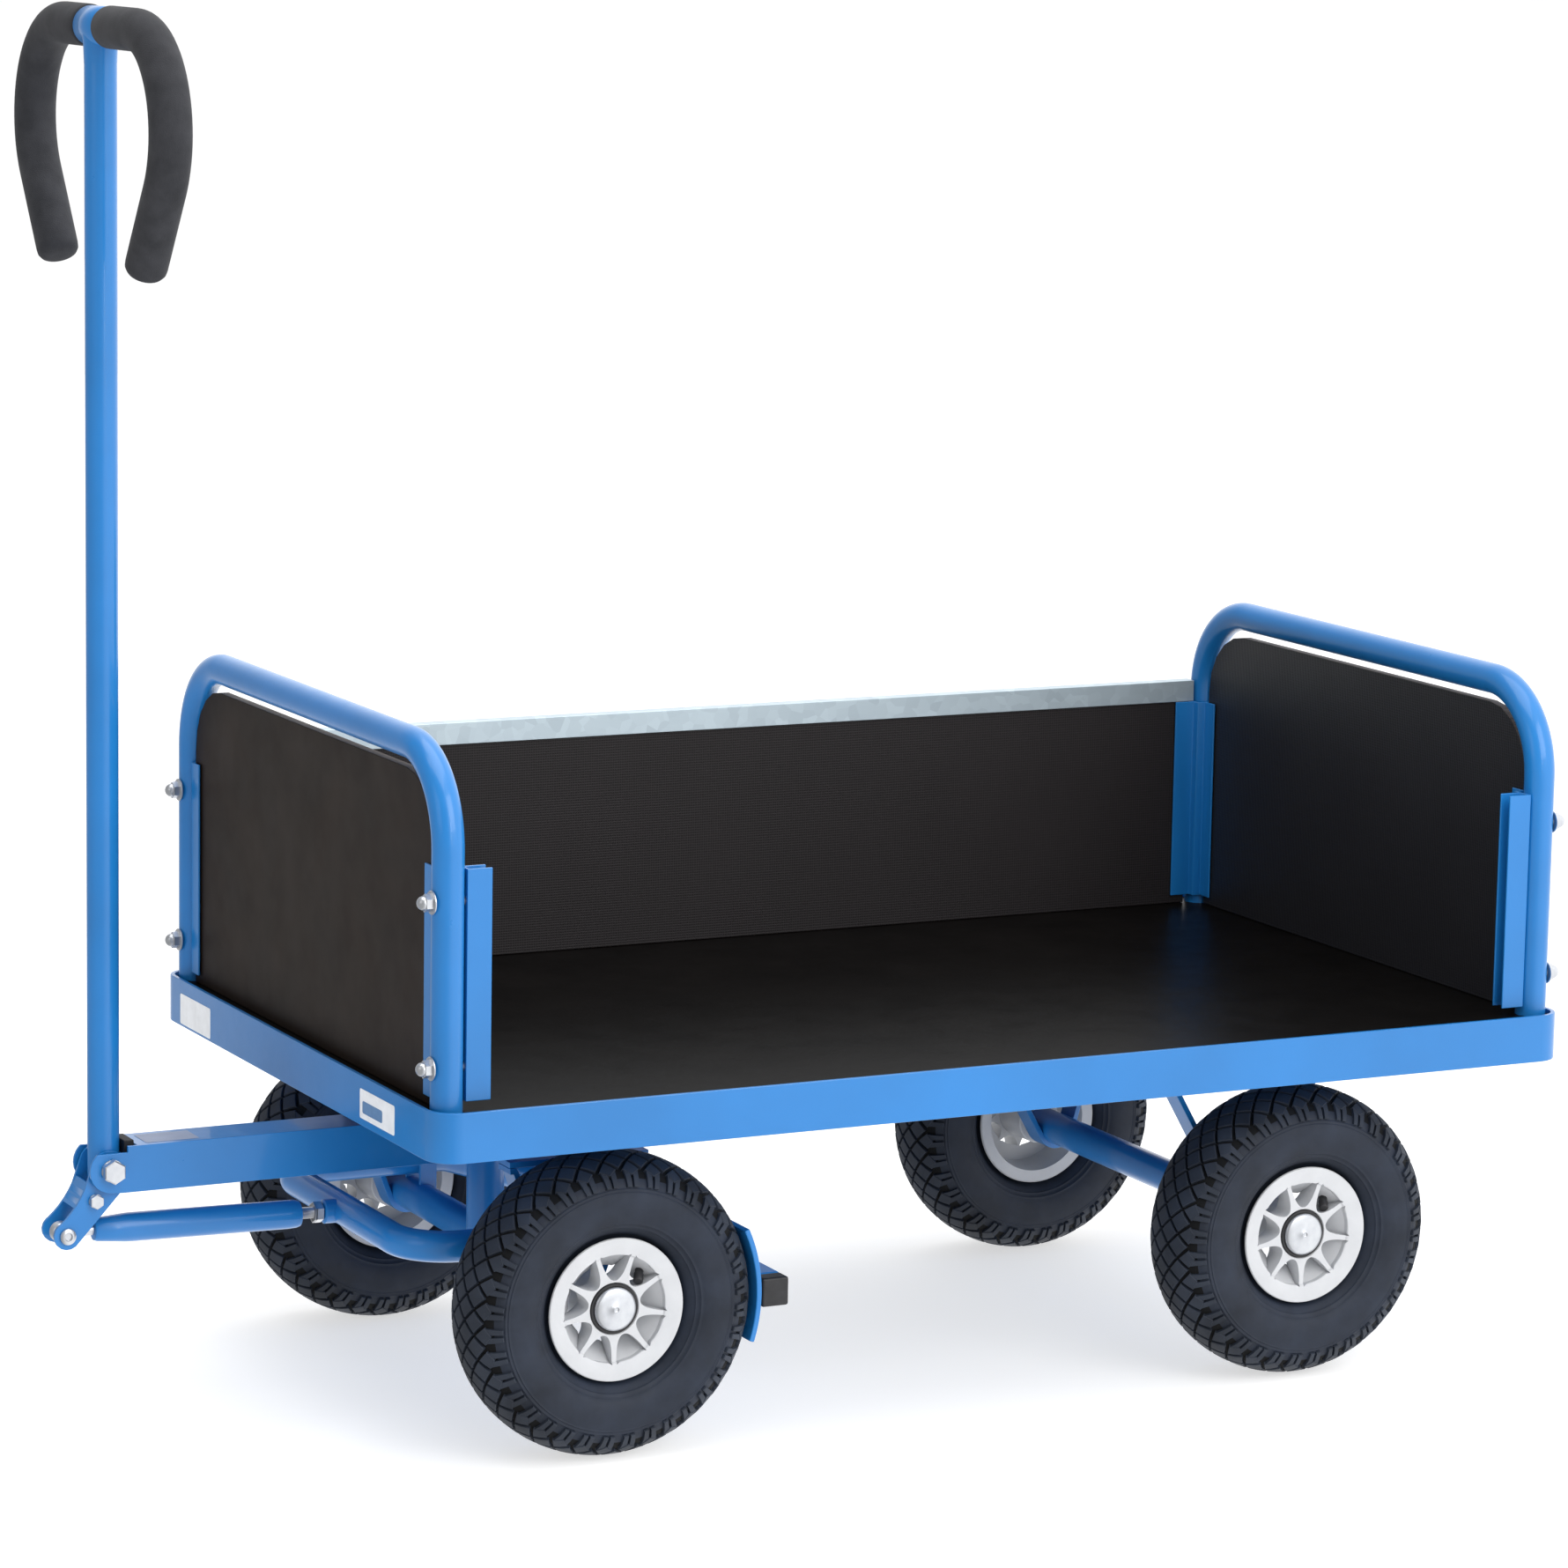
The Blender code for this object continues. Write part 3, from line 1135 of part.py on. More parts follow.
def push_rod_nut():
    """The threaded end behind the tube with its lock nut against the bow's boss."""
    end = rod_length() - BOSS_REACH - GAP
    start = rod_length() - BOSS_REACH - ROD_NUT_LENGTH - ROD_TUBE_REAR + GAP
    stud = rod([rod_point(start), rod_point(end)], ROD_STUD_RADIUS, BOLT_FACETS)
    nut = rod([rod_point(end - ROD_NUT_LENGTH), rod_point(end)], ROD_NUT_RADIUS, 6)
    return joined([stud, nut])


def brake_bow():
    """The U-shaped tube behind the push rod, with its arms running through the guides to the brake bar."""
    end_x = BAR_X + BAR_SIZE / 2 + GAP
    path = []
    for side in (1, -1):
        corners = [
            (end_x, side * BOW_ARM_Y, BOW_END_Z),
            (end_x + BOW_END_LENGTH, side * BOW_ARM_Y, BOW_END_Z),
            (BOW_DROP_X, side * BOW_ARM_Y, BOW_Z),
            (BOW_FRONT_X, side * BOW_ARM_Y, BOW_Z),
            (BOW_FRONT_X, 0.0, BOW_Z),
        ]
        arm = bow_arm(corners)
        path += arm if side > 0 else list(reversed(arm))[1:]
    tube = pipe(path, BOW_TUBE / 2, BOW_WALL)
    boss = rod([rod_point(rod_length() - BOSS_REACH), rod_point(rod_length())], BOSS_RADIUS, TUBE_FACETS)
    return joined([tube, boss])


def bow_arm(corners):
    """One arm of the bow: two slight bends down at the rear, and one quarter turn at the front."""
    rear = bent_path(corners[:4], BOW_BEND, 1)
    front = bent_path(corners[2:], BOW_BEND, BEND_STEPS)
    return rear[:-1] + front[1:]


def brake_shoe(side):
    """A curved plate just behind one front tyre."""
    centre = (FRONT_WHEEL_X, WHEEL_RADIUS)
    low, high = 180.0 - SHOE_ANGLE_UP, 180.0 + SHOE_ANGLE_DOWN
    inner = arc(centre, SHOE_INNER, low, high, 6)
    outer = arc(centre, SHOE_INNER + SHOE_THICKNESS, high, low, 6)
    start = side * WHEEL_Y - SHOE_WIDTH / 2
    return prism(inner + outer, "Y", start, start + SHOE_WIDTH)


def brake_bar_cap(side):
    """The plastic cap on one end of the brake bar."""
    half = BAR_SIZE / 2
    start, end = sorted((side * (BAR_HALF + GAP), side * (BAR_HALF + BAR_CAP)))
    return box((BAR_X - half, BAR_X + half), (start, end), (WHEEL_RADIUS - half, WHEEL_RADIUS + half))


def build_brake():
    """The push rod, the bow, the bar behind the front wheels, its caps and its shoes."""
    add_node("push_rod_eye", push_rod_eye(), "brake", "zinc")
    add_node("push_rod_tube", push_rod_tube(), "brake", "blue_paint")
    add_node("push_rod_nut", push_rod_nut(), "brake", "zinc")
    add_node("brake_bow", brake_bow(), "brake", "blue_paint")
    half = BAR_SIZE / 2
    levels = (WHEEL_RADIUS - half, WHEEL_RADIUS + half)
    bar = box((BAR_X - half, BAR_X + half), (-BAR_HALF, BAR_HALF), levels)
    add_node("brake_bar", bar, "brake", "blue_paint")
    for side_name, side in SIDES:
        add_node("brake_shoe_" + side_name, brake_shoe(side), "brake", "blue_paint")
        add_node("brake_bar_cap_" + side_name, brake_bar_cap(side), "brake", "black_plastic")


clear_scene()
MATERIALS = make_materials()
BODIES = make_bodies()
build_platform()
build_wheels()
build_bogie()
build_drawbar()
build_brake()
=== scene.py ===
"""The looks of the drawbar hand cart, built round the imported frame, in metres: +X forward, +Z up."""

import json
import math

import bmesh
import bpy
import numpy as np
from mathutils import Matrix, Vector


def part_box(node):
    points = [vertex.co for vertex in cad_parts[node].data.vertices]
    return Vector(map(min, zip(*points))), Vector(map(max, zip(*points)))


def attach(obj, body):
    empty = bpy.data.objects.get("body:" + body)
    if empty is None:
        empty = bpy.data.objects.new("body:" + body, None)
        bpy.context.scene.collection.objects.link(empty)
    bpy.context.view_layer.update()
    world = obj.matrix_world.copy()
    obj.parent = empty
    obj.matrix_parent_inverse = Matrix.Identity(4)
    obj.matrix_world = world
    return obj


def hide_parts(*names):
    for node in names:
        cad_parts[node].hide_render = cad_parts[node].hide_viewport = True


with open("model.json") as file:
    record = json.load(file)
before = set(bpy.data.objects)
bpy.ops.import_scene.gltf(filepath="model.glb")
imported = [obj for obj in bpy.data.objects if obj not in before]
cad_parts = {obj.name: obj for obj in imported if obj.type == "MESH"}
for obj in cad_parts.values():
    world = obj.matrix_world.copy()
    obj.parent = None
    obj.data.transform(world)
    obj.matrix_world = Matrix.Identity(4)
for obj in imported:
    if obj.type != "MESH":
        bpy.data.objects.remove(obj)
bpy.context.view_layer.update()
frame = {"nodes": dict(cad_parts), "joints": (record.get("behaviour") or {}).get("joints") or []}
PIVOTS = {joint["name"]: Vector(joint["pos_m"]) for joint in frame["joints"] if "pos_m" in joint}
CORNERS = ("front_left", "front_right", "rear_left", "rear_right")

# Stage, camera and print.
FLOOR_HALF = 9.0
CLOTH_RADIUS = 14.0
CLOTH_SIDES = 32
MESH_LINES = 210.0  # of the woven print, per metre
AIM = Vector((0.0, 0.0, 0.35))  # what the lights look at
CAMERA_PLACE = (2.16290, 4.37991, 1.33065)
CAMERA_AXES = (
    (-0.89562, 0.44448, 0.01755),  # right
    (-0.05763, -0.15505, 0.98622),  # up
    (0.44108, 0.88227, 0.16448),  # back
)

# Wheel, from its own axis. A length is measured over the tyre's skin from the middle of its crown.
TYRE_RADIUS = 0.130
TYRE_HALF = 0.0425
LUG_ROOM = 0.0012  # beside the walls, for the lugs
TYRE_FACETS = 120
SECTION_CENTRE = 0.0920  # where the tyre is widest
SECTION_POWER = 2.35  # of the section's superellipse
BEAD_RADIUS = 0.0622
BEAD_TUCK = 0.004
SHADED_GROOVE_RADIUS = 0.1135  # the skin outside it shows between the blocks, and is painted near black as shade
TREAD_HALF = 0.044  # the crown, to each side
TREAD_HEIGHT = 0.0032
PITCHES = 36
PITCH = 360.0 / PITCHES
ROW = 0.0108  # between rows of diamonds
DIAMOND_SHARE = 0.83  # the rest is groove
BLOCK_CELLS = 2
BLOCK_TOP = 0.93  # a block's top against its edge
BLOCK_FOOT = 1.05
# The corners of a shoulder's kite and half lug, in degrees and lengths.
KITE = ((-3.6, 0.0320), (0.0, 0.0235), (3.6, 0.0320), (0.0, 0.0375))
LUG = ((0.55, 0.0320), (3.2, 0.0320), (2.7, 0.0470), (0.55, 0.0470))
KITE_HEIGHT = TREAD_HEIGHT - 0.0002
LUG_HEIGHT = TREAD_HEIGHT - 0.0006
RIM_WINDOWS = 9
WINDOW_OUTER = 0.0458
WINDOW_INNER = 0.0240
WINDOW_HALF = 0.0144
VALVE_TURN = -137.0  # degrees

# Tubes, axles and brake.
TUBE_RADIUS = 0.0135
HOOP_BEND = 0.078
AXLE_HALF = 0.205
AXLE_RADIUS = 0.015
SPINDLE_RADIUS = 0.010
POST_RADIUS = 0.0165
STRAP_Y = 0.187
STRAP_WIDTH = 0.025
STRAP_THICKNESS = 0.005
GUIDE_OUTER, GUIDE_INNER = 0.0179, 0.0145
BOW_LEVEL = 0.165
BOW_AHEAD = 0.132  # the bow's front tube, from the wheels' axis
BOW_DROP = 0.136  # the level of the bow's rear ends
BOW_BEND = 0.046
BOSS_REACH = 0.0210  # from the bow's front tube to its boss's face
SHOE_INNER, SHOE_OUTER = 0.1308, 0.1358
SHOE_START, SHOE_END = 155.0, 198.0  # degrees

# Bolts and labels.
HEX_CHAMFER = 0.0006
WASHER_FACE = 0.0008
LABEL_CORNER = 0.002
LABEL_LOW, LABEL_HIGH = 0.00005, 0.00025

# Handle.
HANDLE_BEND = 0.080
HANDLE_TURN = 34.0  # degrees past straight down
HANDLE_REACH = 0.165


# --- materials


class Finish:
    """A Principled material whose sockets are fed by a few procedural nodes."""

    def __init__(self, name, colour, roughness, metallic=0.0, specular=0.5, coat=0.0):
        self.made = bpy.data.materials.new(name)
        self.made.use_nodes = True
        self.tree = self.made.node_tree
        self.shader = self.tree.nodes["Principled BSDF"]
        self.set("Base Color", (*colour, 1.0))
        self.set("Roughness", roughness)
        self.set("Metallic", metallic)
        self.set("Specular IOR Level", specular)
        self.set("Coat Weight", coat)
        self.set("Coat Roughness", 0.07)
        self.where = self.tree.nodes.new("ShaderNodeTexCoord").outputs["Object"]

    def set(self, socket, value):
        self.shader.inputs[socket].default_value = value

    def node(self, kind, inputs, **settings):
        """A new node with its settings, and its inputs either linked or set."""
        made = self.tree.nodes.new(kind)
        for key, value in settings.items():
            setattr(made, key, value)
        for key, value in inputs.items():
            if isinstance(value, bpy.types.NodeSocket):
                self.tree.links.new(value, made.inputs[key])
            else:
                made.inputs[key].default_value = value
        return made

    def noise(self, scale, detail=4.0, where=None):
        """Cloudy noise, in clouds per metre."""
        values = {"Vector": where or self.where, "Scale": scale, "Detail": detail, "Roughness": 0.55}
        return self.node("ShaderNodeTexNoise", values).outputs["Fac"]

    def cells(self, scale):
        """Cell noise, in cells per metre."""
        return self.node("ShaderNodeTexVoronoi", {"Vector": self.where, "Scale": scale})

    def ramp(self, fac, low, high, start=0.3, end=0.7):
        """A blend from one colour to another as fac goes from start to end."""
        made = self.node("ShaderNodeValToRGB", {"Fac": fac})
        stops = made.color_ramp.elements
        stops[0].position, stops[0].color = start, (*low, 1.0)
        stops[1].position, stops[1].color = end, (*high, 1.0)
        return made.outputs["Color"]

    def spread(self, fac, low, high):
        """A number from low to high as fac goes from 0 to 1."""
        values = {"Value": fac, "To Min": low, "To Max": high}
        return self.node("ShaderNodeMapRange", values).outputs["Result"]

    def math(self, operation, first, second=0.0):
        """One arithmetic step."""
        made = self.node("ShaderNodeMath", {0: first, 1: second}, operation=operation)
        return made.outputs["Value"]

    def feed(self, socket, source):
        self.tree.links.new(source, self.shader.inputs[socket])

    def tint(self, fac, low, high, *stops):
        """Feeds the base colour with a ramp."""
        self.feed("Base Color", self.ramp(fac, low, high, *stops))

    def dull(self, fac, low, high):
        """Feeds the roughness with a spread."""
        self.feed("Roughness", self.spread(fac, low, high))

    def bump(self, height, strength, distance):
        """Adds a bump over any that is already there."""
        values = {"Height": height, "Strength": strength, "Distance": distance}
        before = self.shader.inputs["Normal"].links
        if before:
            values["Normal"] = before[0].from_socket
        self.feed("Normal", self.node("ShaderNodeBump", values).outputs["Normal"])


def shade(colour, factor):
    """A colour made darker or lighter."""
    return tuple(min(channel * factor, 1.0) for channel in colour)


def blue_paint():
    """Powder coat: a faint orange peel, slow colour drift and a glossy skin."""
    colour = (0.012, 0.182, 0.510)
    made = Finish("blue_powder_coat", colour, 0.30, specular=0.45, coat=0.35)
    made.tint(made.noise(5.0), shade(colour, 0.90), shade(colour, 1.10))
    made.dull(made.noise(60.0), 0.24, 0.38)
    made.bump(made.noise(650.0, 2.0), 0.10, 0.0004)
    made.bump(made.noise(90.0, 3.0), 0.05, 0.0010)
    return made.made


def film_board(name, colour, roughness, specular):
    """Smooth phenolic film with faint paper mottling and handling marks."""
    made = Finish(name, colour, roughness, specular=specular)
    made.tint(made.noise(14.0, 6.0), shade(colour, 0.75), shade(colour, 1.30))
    made.dull(made.noise(25.0, 6.0), roughness - 0.07, roughness + 0.12)
    made.bump(made.noise(900.0, 3.0), 0.12, 0.0002)
    made.bump(made.noise(30.0, 2.0), 0.04, 0.0015)
    return made.made


def mesh_board(name, colour, roughness, specular):
    """Phenolic film with a fine woven print: two sets of raised lines across each other."""
    made = Finish(name, colour, roughness, specular=specular)
    parts = made.node("ShaderNodeSeparateXYZ", {"Vector": made.where})
    across = made.math("ADD", parts.outputs["X"], parts.outputs["Y"])
    waves = []
    for source in (across, parts.outputs["Z"]):
        turns = made.math("MULTIPLY", source, 2.0 * math.pi * MESH_LINES)
        waves.append(made.math("ABSOLUTE", made.math("SINE", turns)))
    weave = made.math("MULTIPLY", *waves)
    worn = made.math("MULTIPLY", weave, made.spread(made.noise(8.0, 5.0), 0.55, 1.0))
    made.tint(worn, shade(colour, 1.75), shade(colour, 0.45), 0.05, 0.75)
    made.dull(made.noise(20.0, 5.0), roughness - 0.06, roughness + 0.10)
    made.bump(weave, 0.45, 0.0004)
    return made.made


def ply_edge():
    """The sawn and varnished edge of the boards."""
    made = Finish("board_edge", (0.100, 0.070, 0.055), 0.55, specular=0.35)
    stretched = made.node("ShaderNodeMapping", {"Vector": made.where, "Scale": (40.0, 40.0, 900.0)})
    grain = made.noise(1.0, 4.0, where=stretched.outputs["Vector"])
    made.tint(grain, (0.060, 0.042, 0.034), (0.150, 0.110, 0.085))
    made.bump(grain, 0.2, 0.0003)
    return made.made


def galvanised():
    """Hot-dip zinc: spangles of slightly different grey, and a soft bloom."""
    made = Finish("galvanised_sheet", (0.62, 0.67, 0.71), 0.42, metallic=0.65)
    spangle = made.cells(90.0).outputs["Color"]
    tone = made.node("ShaderNodeRGBToBW", {"Color": spangle}).outputs["Val"]
    made.tint(tone, (0.48, 0.57, 0.63), (0.57, 0.67, 0.73), 0.1, 0.9)
    made.dull(made.noise(40.0), 0.38, 0.52)
    made.bump(tone, 0.02, 0.0003)
    return made.made


def zinc():
    """Bright zinc plate with fine turning marks and a little haze."""
    made = Finish("zinc_plate", (0.66, 0.68, 0.71), 0.30, metallic=0.9)
    made.tint(made.noise(120.0), (0.56, 0.58, 0.62), (0.67, 0.69, 0.72))
    made.dull(made.noise(60.0), 0.24, 0.38)
    made.bump(made.noise(800.0, 2.0), 0.02, 0.0001)
    return made.made


def tyre_rubber(name, colour, roughness):
    """Black rubber with a dusty bloom and a fine mould grain."""
    made = Finish(name, colour, roughness, specular=0.32)
    cloud = made.noise(22.0, 6.0)
    made.tint(cloud, shade(colour, 0.65), shade(colour, 1.45))
    made.dull(made.noise(70.0), roughness - 0.10, roughness + 0.14)
    made.bump(made.noise(1800.0, 3.0), 0.16, 0.0002)
    made.bump(made.noise(160.0, 3.0), 0.08, 0.0004)
    return made.made


def stop_rubber():
    """The dense black rubber of the drawbar's stop."""
    made = Finish("stop_rubber", (0.012, 0.012, 0.013), 0.62, specular=0.35)
    made.tint(made.noise(180.0), (0.008, 0.008, 0.009), (0.020, 0.020, 0.022))
    made.bump(made.noise(900.0), 0.2, 0.0002)
    return made.made


def foam():
    """Closed-cell foam: open pores at the skin and a dry, dull surface."""
    made = Finish("grip_foam", (0.026, 0.027, 0.030), 0.86, specular=0.22)
    pores = made.cells(1100.0).outputs["Distance"]
    made.tint(made.noise(55.0, 6.0), (0.023, 0.024, 0.028), (0.039, 0.040, 0.046))
    made.bump(pores, 0.35, 0.0004)
    made.bump(made.noise(130.0, 4.0), 0.10, 0.0008)
    made.set("Sheen Weight", 0.06)
    made.set("Sheen Roughness", 0.5)
    return made.made


def rim_plastic():
    """Light grey moulded polyamide with a faint grain."""
    made = Finish("rim_plastic", (0.54, 0.55, 0.57), 0.42, specular=0.40)
    made.tint(made.noise(35.0), (0.54, 0.55, 0.57), (0.60, 0.61, 0.63))
    made.dull(made.noise(120.0), 0.36, 0.50)
    made.bump(made.noise(1400.0, 2.0), 0.08, 0.0002)
    return made.made


def black_plastic():
    """The moulded caps on the brake bar, the hub rings and the valves."""
    made = Finish("black_plastic", (0.016, 0.016, 0.018), 0.48, specular=0.45)
    made.tint(made.noise(90.0), (0.012, 0.012, 0.014), (0.024, 0.024, 0.027))
    made.bump(made.noise(1200.0, 2.0), 0.12, 0.0002)
    return made.made


def ring_steel():
    """Pressed races with a dull zinc finish and a film of grease."""
    made = Finish("race_steel", (0.30, 0.31, 0.33), 0.42, metallic=0.9)
    made.tint(made.noise(30.0, 5.0), (0.18, 0.18, 0.19), (0.42, 0.43, 0.45))
    made.dull(made.noise(60.0), 0.30, 0.60)
    return made.made


def label_film(name, colour):
    """A blank adhesive label with faint smudges."""
    made = Finish(name, colour, 0.45)
    made.tint(made.noise(70.0), shade(colour, 0.92), shade(colour, 1.05))
    made.bump(made.noise(500.0), 0.05, 0.0001)
    return made.made


def label_band():
    """The plain grey-blue band printed on a blank label."""
    made = Finish("label_band", (0.10, 0.22, 0.42), 0.45)
    made.tint(made.noise(90.0), (0.09, 0.20, 0.39), (0.12, 0.25, 0.46))
    return made.made


def floor_paint():
    """A plain pale studio floor."""
    made = Finish("studio_floor", (0.60, 0.60, 0.60), 0.75, specular=0.1)
    made.tint(made.noise(1.5), (0.59, 0.59, 0.59), (0.61, 0.61, 0.61))
    made.set("Emission Color", (1.0, 1.0, 1.0, 1.0))
    made.set("Emission Strength", 0.60)
    return made.made


def white_sweep():
    """The white cloth round the studio."""
    made = Finish("studio_cloth", (0.0, 0.0, 0.0), 1.0, specular=0.0)
    made.feed("Emission Color", made.ramp(made.noise(0.5), (0.99, 0.99, 0.99), (1.0, 1.0, 1.0)))
    made.set("Emission Strength", 1.02)
    return made.made


BLUE = blue_paint()
FRONT_FILM = film_board("front_film", (0.0150, 0.0090, 0.0058), 0.42, 0.14)
DECK_FILM = film_board("deck_film", (0.0034, 0.0029, 0.0027), 0.32, 0.04)
WALL_MESH = mesh_board("wall_mesh", (0.0130, 0.0110, 0.0118), 0.50, 0.26)
REAR_MESH = mesh_board("rear_mesh", (0.0150, 0.0150, 0.0178), 0.36, 0.42)
EDGE = ply_edge()
GALVANISED = galvanised()
ZINC = zinc()
TYRE_RUBBER = tyre_rubber("tyre_side_rubber", (0.0140, 0.0195, 0.0330), 0.58)
TREAD_RUBBER = tyre_rubber("tyre_tread_rubber", (0.0200, 0.0260, 0.0390), 0.60)
# Painted shade: the near-black rubber of the grooves between the tread blocks.
GROOVE_PAINTED_SHADE = tyre_rubber("tyre_groove_painted_shade", (0.0030, 0.0034, 0.0042), 0.85)
STOP_RUBBER = stop_rubber()
FOAM = foam()
RIM_PLASTIC = rim_plastic()
BLACK_PLASTIC = black_plastic()
RING_STEEL = ring_steel()
LABEL_WHITE = label_film("label_white", (0.86, 0.88, 0.91))
# A pale grey-blue patch that paints a highlight on the tow beam's glossy top.
BEAM_TOP_HIGHLIGHT = label_film("beam_top_highlight", (0.26, 0.31, 0.44))
LABEL_BAND = label_band()


# --- shapes


def arc(centre, radius, start, end, steps):
    """Points of an arc in degrees, both ends included."""
    angles = np.radians(np.linspace(start, end, steps + 1))
    return [(centre[0] + radius * math.cos(a), centre[1] + radius * math.sin(a)) for a in angles]


class Shape:
    """A growing list of points and faces, which may be several closed shells."""

    def __init__(self):
        self.points = []
        self.faces = []

    def add(self, points, faces, place=None):
        start = len(self.points)
        place = place or Matrix.Identity(4)
        self.points += [tuple(place @ Vector(point)) for point in points]
        self.faces += [tuple(start + index for index in face) for face in faces]
        return self

    def loops(self, rings, closed=True, place=None):
        """Skins a run of rings with equal numbers of points, with both ends closed or open."""
        count = len(rings[0])
        faces = []
        for row in range(len(rings) - 1):
            for step in range(count):
                after = (step + 1) % count
                base = row * count
                faces.append((base + step, base + after, base + count + after, base + count + step))
        if closed:
            faces.append(tuple(range(count))[::-1])
            faces.append(tuple(range((len(rings) - 1) * count, len(rings) * count)))
        return self.add([point for ring in rings for point in ring], faces, place)

    def lathe(self, profile, facets, place=None):
        """Turns (radius, along) about the Y axis: closed if the profile starts on it, or else a ring."""
        capped = profile[0][0] == 0.0
        rows = profile[1:-1] if capped else profile + profile[:1]
        angles = [2 * math.pi * step / facets for step in range(facets)]
        rings = [[(r * math.cos(a), y, r * math.sin(a)) for a in angles] for r, y in rows]
        return self.loops(rings, capped, place)

    def sweep(self, path, radius, sides, place=None):
        """A round bar along a path, with one radius or a list of one for each point."""
        centres = [Vector(point) for point in path]
        ways = [(b - a).normalized() for a, b in zip(centres, centres[1:])]
        side = ways[0].orthogonal().normalized()
        radii = radius if isinstance(radius, list) else [radius] * len(centres)
        turns = [2 * math.pi * step / sides for step in range(sides)]
        rings = []
        for index, (centre, size) in enumerate(zip(centres, radii)):
            before, after = ways[max(index - 1, 0)], ways[min(index, len(ways) - 1)]
            way = (before + after).normalized()
            side = (side - way * side.dot(way)).normalized()
            across = way.cross(side)
            rings.append([centre + (side * math.cos(a) + across * math.sin(a)) * size for a in turns])
        return self.loops(rings, place=place)

    def turned(self, start, way, stations, sides):
        """A round bar along a straight line, from (distance, radius) stations."""
        path = [start + way * along for along, _ in stations]
        return self.sweep(path, [size for _, size in stations], sides)

    def extrude(self, outline, axis, low, high):
        """An outline pushed along X, Y or Z."""
        spot = "XYZ".index(axis)

        def lift(pair, level):
            values = list(pair)
            values.insert(spot, level)
            return tuple(values)

        return self.loops([[lift(pair, level) for pair in outline] for level in (low, high)])


def linked(name, data):
    """A new object in the scene."""
    made = bpy.data.objects.new(name, data)
    bpy.context.scene.collection.objects.link(made)
    return made


def make(name, shape, material, angle=40.0, bevel=0.0):
    """An object from a shape, facing outwards, smooth but for edges sharper than an angle."""
    mesh = bpy.data.meshes.new(name)
    mesh.from_pydata(shape.points, [], shape.faces)
    return dress(name, mesh, material, angle, bevel)


def dress(name, mesh, material, angle, bevel):
    """An object with a mesh, its material, smooth shading and an optional bevel."""
    bm = bmesh.new()
    bm.from_mesh(mesh)
    bmesh.ops.recalc_face_normals(bm, faces=bm.faces)
    bm.to_mesh(mesh)
    bm.free()
    mesh.materials.append(material)
    mesh.shade_smooth()
    mesh.set_sharp_from_angle(angle=math.radians(angle))
    made = linked(name, mesh)
    if bevel:
        step = made.modifiers.new("soft_edges", "BEVEL")
        step.width = bevel
        step.segments = 2
        step.limit_method = "ANGLE"
        step.angle_limit = math.radians(35.0)
        step.harden_normals = True
    return made


def put(made, body, slot, *nodes):
    """Rides a piece on a body and hides the CAD nodes that it stands for; its slot is not used."""
    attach(made, body)
    if nodes:
        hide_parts(*nodes)
    return made


def softened(node, name, material, body, slot, width):
    """A CAD node's shape with its flat faces merged and its edges rounded, in place of the node."""
    mesh = frame["nodes"][node].data.copy()
    mesh.materials.clear()
    bm = bmesh.new()
    bm.from_mesh(mesh)
    bmesh.ops.remove_doubles(bm, verts=bm.verts, dist=1e-6)
    bmesh.ops.dissolve_limit(bm, angle_limit=math.radians(0.5), verts=bm.verts, edges=bm.edges)
    bm.to_mesh(mesh)
    bm.free()
    return put(dress(name, mesh, material, 35.0, width), body, slot, node)


def middle(node):
    """The middle of a CAD node's box."""
    low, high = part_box(node)
    return (low + high) / 2


def bent(corners, radius, steps):
    """A path through corners, each rounded by an arc of one radius."""
    corners = [Vector(corner) for corner in corners]
    path = [corners[0]]
    for before, corner, after in zip(corners, corners[1:], corners[2:]):
        back, ahead = (before - corner).normalized(), (after - corner).normalized()
        half = back.angle(ahead) / 2
        centre = corner + (back + ahead).normalized() * (radius / math.sin(half))
        start = corner + back * (radius / math.tan(half)) - centre
        axis = ahead.cross(back)
        for step in range(steps + 1):
            path.append(centre + Matrix.Rotation((math.pi - 2 * half) * step / steps, 3, axis) @ start)
    path.append(corners[-1])
    return path


# --- wheels


def section_curve():
    """The tyre's section without its tread, from crown to bead: lengths, and (y, radius) points."""
    height = TYRE_RADIUS - TREAD_HEIGHT - SECTION_CENTRE
    half = TYRE_HALF - LUG_ROOM
    depth = SECTION_CENTRE - BEAD_RADIUS + BEAD_TUCK
    points = []
    for angle in np.radians(np.linspace(90.0, -62.0, 220)):
        y = half * abs(math.cos(angle)) ** (2 / SECTION_POWER)
        rise = abs(math.sin(angle)) ** (2 / SECTION_POWER)
        radius = SECTION_CENTRE + (height * rise if angle > 0 else -depth * rise)
        if radius > BEAD_RADIUS:
            points.append((y, radius))
    steps = [math.dist(a, b) for a, b in zip(points, points[1:])]
    lengths = np.concatenate([[0.0], np.cumsum(steps)])
    return lengths, np.array(points)


SECTION_LENGTHS, SECTION_POINTS = section_curve()


def section_at(length):
    """The section's point and outward normal at a length, negative on the other side of the crown."""

    def spot(span):
        return [np.interp(span, SECTION_LENGTHS, SECTION_POINTS[:, k]) for k in (0, 1)]

    side, span, step = 1.0 if length >= 0 else -1.0, abs(length), 0.0004
    y, radius = spot(span)
    ahead, behind = spot(span + step), spot(abs(span - step))
    if span < step:
        behind[0] = -behind[0]
    run = Vector((ahead[0] - behind[0], ahead[1] - behind[1])).normalized()
    return side * y, radius, side * -run.y, run.x


def on_tyre(angle, length, height):
    """A point over the tyre's skin, at an angle in degrees round it and a length across it."""
    y, radius, out_y, out_r = section_at(length)
    radius += out_r * height
    turn = math.radians(angle)
    return (radius * math.cos(turn), y + out_y * height, radius * math.sin(turn))


